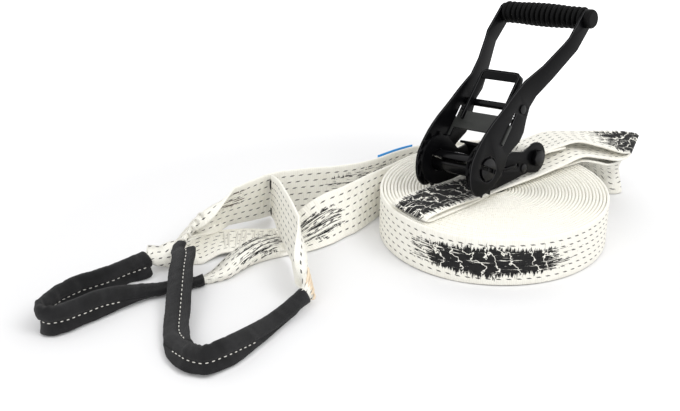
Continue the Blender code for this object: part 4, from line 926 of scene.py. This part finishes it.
def thread_loops(name, thread, path, places, radius):
    """Closed loops of thread round a folded strip, at lengths along it."""
    lengths, _, across, out = axes_of(path)
    shape = bmesh.new()
    for where in places:
        index = np.abs(lengths - where).argmin()
        width, lift = folded_size(path[index, 6])
        half, tall = width / 2 + radius * 0.4, lift + radius * 0.4
        middle, sideways, up = Vector(path[index, :3]), Vector(across[index]), Vector(out[index])
        onward = sideways.cross(up)
        rings = []
        for step in range(LOOP_POINTS):
            angle = 2 * pi * step / LOOP_POINTS
            x, z = cos(angle), sin(angle)
            spot = (sideways * half * copysign(abs(x) ** LOOP_ROUNDNESS, x)
                    + up * tall * copysign(abs(z) ** LOOP_ROUNDNESS, z))
            away = (sideways * x * tall + up * z * half).normalized()
            rings.append(thread_ring(shape, middle + spot, away * radius, onward * radius, LOOP_CORNERS))
        join_rings(shape, rings + rings[:1])
    return sewn_on(name, shape, thread)


def bars_along(path, reach, shares, fold_side):
    """Lines along a folded strip between two lengths, at shares of its width, on its smooth side."""
    lengths, _, across, out = axes_of(path)
    rows = np.flatnonzero((lengths >= reach[0]) & (lengths <= reach[1]))
    lines = []
    for share in shares:
        spots = np.array([strip_point(path[index], across[index], out[index], share,
                                      -WEBBING_THICKNESS / 2, fold_side) for index in rows])
        lines.append((spots, -out[rows] * fold_side, np.ones(len(rows))))
    return lines


left_end, right_end = lengths_along(strap_path)[-1], lengths_along(leg_path)[-1] - LEG_HIDDEN
left_places = [left_end - LEFT_WRAP_START - WRAP_PITCH * step for step in range(LEFT_WRAPS)]
right_lines = bars_along(leg_path_long, [right_end - reach for reach in RIGHT_WRAP_REACH],
                         np.linspace(*RIGHT_WRAP_SHARES, RIGHT_WRAPS), LEG_FOLD_SIDE)
seam_lines = [line for shares in SEAM_SHARES
              for line in bars_across(leg_path_long, SEAM_PLACES, shares, SEAM_SIDE)]
cream_thread = thread_finish("cream_thread", (0.86, 0.80, 0.68), (0.70, 0.50, 0.30))
# Dark thread of the seam tacks: its dark colour is also a painted shadow along the seam
black_thread_painted_seam_shadow = thread_finish("black_thread_painted_seam_shadow", (0.02, 0.02, 0.02), (0.06, 0.055, 0.05))
thread_loops("left_leg_wraps", white_thread, strap_path_long, left_places, LEFT_WRAP_RADIUS)
thread_stitches("right_leg_wraps", cream_thread, right_lines, None, BAR_GAP, RIGHT_WRAP_RADIUS)
thread_stitches("loop_seam_tacks_painted_shadow", black_thread_painted_seam_shadow, seam_lines, None, BAR_GAP, SEAM_RADIUS)

# Blank blue label: a folded scrap of smooth woven tape, sewn to the strap's top edge behind the roll.
# It keeps the shape of its solid.
label = frame["nodes"]["strap_label"]
label_cloth, _ = grained_finish("blue_label_cloth", (0.04, 0.28, 0.72), (0.09, 0.40, 0.80), 1600.0, strength=0.6,
                                Roughness=0.8, Specular_IOR_Level=0.2)
label.data.materials.clear()
label.data.materials.append(label_cloth.material)

# The ratchet's pieces: plates stamped and folded from sheet steel, in one satin black coat that is worn at
# their edges, where its lighter colour is also a painted highlight. Rods and the halves of the spool are
# turned bar with a smoother coat. The lever's end caps are moulded rubber. Each keeps its solid's own shape,
# with rounded edges.
STEEL_BEVEL, CAP_BEVEL = 0.00045, 0.0011
BEVEL_STEPS, SHARP_ANGLE = 3, radians(38)
SAME_PLACE, SAME_PLANE = 0.00001, radians(1)
RATCHET_PLACE = (-0.037867, -0.016582, 0.084828)
RATCHET_TURN = (0.0, radians(-7.6), radians(-44.8))
HANDLE_ANGLE = radians(37.7)
PAWL_ANGLE, PAWL_DROP = radians(8.0), 0.0035
SMOOTH_STEEL = ("spool_bar_upper", "spool_bar_lower", "handle_cross_rod", "frame_tie_rod", "anchor_bolt",
                "anchor_nut", "spool_pin_near", "spool_pin_far")

ratchet_axes = Matrix.Translation(RATCHET_PLACE) @ Euler(RATCHET_TURN).to_matrix().to_4x4()
handle_axes = ratchet_axes @ Matrix.Rotation(HANDLE_ANGLE, 4, "X")
slide_axes = handle_axes @ Matrix.Translation((0, 0, -PAWL_DROP)) @ Matrix.Rotation(PAWL_ANGLE, 4, "X")


def steel_finish(name, roughness, specular, dark, light):
    finish = Finish(name, Specular_IOR_Level=specular)
    spot = finish.place()
    grain = finish.noise(spot, 900.0, 3.0)
    patch = finish.noise(spot, 60.0, 4.0)
    finish.set(Base_Color=finish.blend(patch, dark, light), Roughness=patch * 0.12 + roughness,
               Normal=finish.bump(grain, 0.00012, 0.3))
    return finish.material


def rounded(piece, bevel, material=-1, rounds=0):
    """Rounds a piece's sharp edges, whose faces may take another material, and smooths the rest."""
    bpy.ops.object.select_all(action="DESELECT")
    bpy.context.view_layer.objects.active = piece
    piece.select_set(True)
    if bevel:
        edge = piece.modifiers.new("edge", "BEVEL")
        edge.width, edge.segments, edge.material = bevel, BEVEL_STEPS, material
        edge.limit_method, edge.angle_limit = "ANGLE", SHARP_ANGLE
        bpy.ops.object.modifier_apply(modifier="edge")
    if rounds:
        rounding = piece.modifiers.new("rounding", "SUBSURF")
        rounding.levels = rounding.render_levels = rounds
        bpy.ops.object.modifier_apply(modifier="rounding")
    bpy.ops.object.shade_smooth_by_angle(angle=SHARP_ANGLE)


def dressed(node, finish, body, bevel=STEEL_BEVEL, rounds=0, worn=None):
    """A piece with a solid's own shape and rounded edges, which stands for that solid."""
    mesh = frame["nodes"][node].data.copy()
    piece = bpy.data.objects.new(node + "_finished", mesh)
    scene.collection.objects.link(piece)
    shape = bmesh.new()
    shape.from_mesh(mesh)
    bmesh.ops.remove_doubles(shape, verts=shape.verts, dist=SAME_PLACE)
    bmesh.ops.dissolve_limit(shape, angle_limit=SAME_PLANE, verts=shape.verts, edges=shape.edges)
    shape.to_mesh(mesh)
    shape.free()
    mesh.materials.clear()
    mesh.materials.append(finish)
    # worn is the finish of the rounded edges, whose lighter colour is worn paint and a painted highlight
    if worn:
        mesh.materials.append(worn)
    rounded(piece, bevel, 1 if worn else -1, rounds)
    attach(piece, body)
    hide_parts(node)
    return piece


black_steel = steel_finish("black_painted_steel", 0.27, 0.07, (0.0014, 0.0014, 0.0017), (0.0036, 0.0036, 0.0042))
smooth_steel = steel_finish("smooth_painted_steel", 0.16, 0.16, (0.0016, 0.0016, 0.0019), (0.0034, 0.0034, 0.0040))
# Rounded edges: worn paint, with a lighter colour that is also a painted highlight along them
worn_steel_painted_highlight = steel_finish("worn_steel_edge_painted_highlight", 0.30, 0.35, (0.006, 0.006, 0.007), (0.016, 0.016, 0.018))
rubber, rubber_grain = grained_finish("grip_rubber", (0.0022, 0.0022, 0.0024), (0.0045, 0.0045, 0.0047),
                                      700.0, 4.0, 0.00015, 0.4, Specular_IOR_Level=0.08)
rubber.set(Roughness=rubber_grain * 0.15 + 0.42)
bodies = frame["record"]["behaviour"]["bodies"]
for body in ("ratchet_frame", "spool", "handle", "drive_pawl", "lock_pawl"):
    for node in bodies[body]:
        if "_spring_" in node:
            # A spring keeps its solid's shape, made rounder, on a mesh of its own
            spring = dressed(node, smooth_steel, body, 0, 1)
            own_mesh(spring)
        elif "cap" in node:
            dressed(node, rubber.material, body, CAP_BEVEL, 1)
        elif node in SMOOTH_STEEL:
            dressed(node, smooth_steel, body)
        elif node != "grip_sleeve":
            dressed(node, black_steel, body, worn=worn_steel_painted_highlight)

# Drive pawl's plate, between the handle's plates: stamped from sheet steel like them. Its flat faces have a
# duller coat, and a lighter colour that is a painted reflection of the light they catch.
PLATE_REACH, PLATE_HALF = (0.0395, 0.0605), 0.0020

# Lighter colour of the plate's flat faces: a painted reflection of the light they catch
plate_steel_painted_reflection = steel_finish("dull_plate_painted_reflection", 0.42, 0.30, (0.018, 0.019, 0.018), (0.040, 0.042, 0.039))
pawl = bpy.data.objects["drive_pawl_finished"]
pawl.data.materials.append(plate_steel_painted_reflection)
for face in pawl.data.polygons:
    spot = slide_axes.inverted() @ face.center
    if PLATE_REACH[0] < spot.y < PLATE_REACH[1] and abs(spot.z) < PLATE_HALF:
        face.material_index = 2

# Grip: a sleeve of moulded rubber pushed onto the lever's rod. Its ribs are round, and it is fatter in its
# middle than at its ends.
HANDLE_REACH, GRIP_OFFSET, GRIP_HALF_LENGTH = 0.1930, 0.0030, 0.0300
GRIP_RADIUS, GRIP_BORE, GRIP_DEEPER = 0.0102, 0.0060, 1.9
GRIP_SWELL, GRIP_BULGE = 1.26, 0.10

grip = dressed("grip_sleeve", rubber.material, "handle", 0, 2)
grip.data.transform(handle_axes.inverted())
for vertex in grip.data.vertices:
    away = Vector((0, vertex.co.y - HANDLE_REACH, vertex.co.z - GRIP_OFFSET))
    if away.length > GRIP_BORE:
        deeper = 1 - (GRIP_RADIUS - away.length) * GRIP_DEEPER / away.length
        swell = GRIP_SWELL + GRIP_BULGE * (1 - min(abs(vertex.co.x) / GRIP_HALF_LENGTH, 1) ** 2)
        vertex.co = Vector((vertex.co.x, HANDLE_REACH, GRIP_OFFSET)) + away * deeper * swell
grip.data.transform(handle_axes)

# The far end cap of the grip: moulded rubber, as the near one, but thinner, so that it hardly stands out
# past its plate.
FAR_CAP_PLACE, FAR_CAP_SHARE = 0.0340, 0.45

for vertex in bpy.data.objects["grip_end_cap_far_finished"].data.vertices:
    spot = handle_axes.inverted() @ vertex.co
    if abs(spot.x) > FAR_CAP_PLACE:
        spot.x = copysign(FAR_CAP_PLACE + (abs(spot.x) - FAR_CAP_PLACE) * FAR_CAP_SHARE, spot.x)
        vertex.co = handle_axes @ spot

# Lip of the pull: a flat tongue for the fingertips, of the same painted steel, folded inwards from the top
# bar of the drive pawl's pull.
LIP_CENTRE = (0.0, 0.1030, 0.0040)
LIP_SIZE = (0.0440, 0.0110, 0.0022)
LIP_BEVEL = 0.0010

bpy.ops.mesh.primitive_cube_add(size=1)
lip = bpy.context.object
lip.name = "pull_lip"
lip.data.transform(Matrix.Diagonal((*LIP_SIZE, 1)))
rounded(lip, LIP_BEVEL)
lip.data.transform(slide_axes @ Matrix.Translation(LIP_CENTRE))
lip.data.materials.append(black_steel)
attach(lip, "drive_pawl")
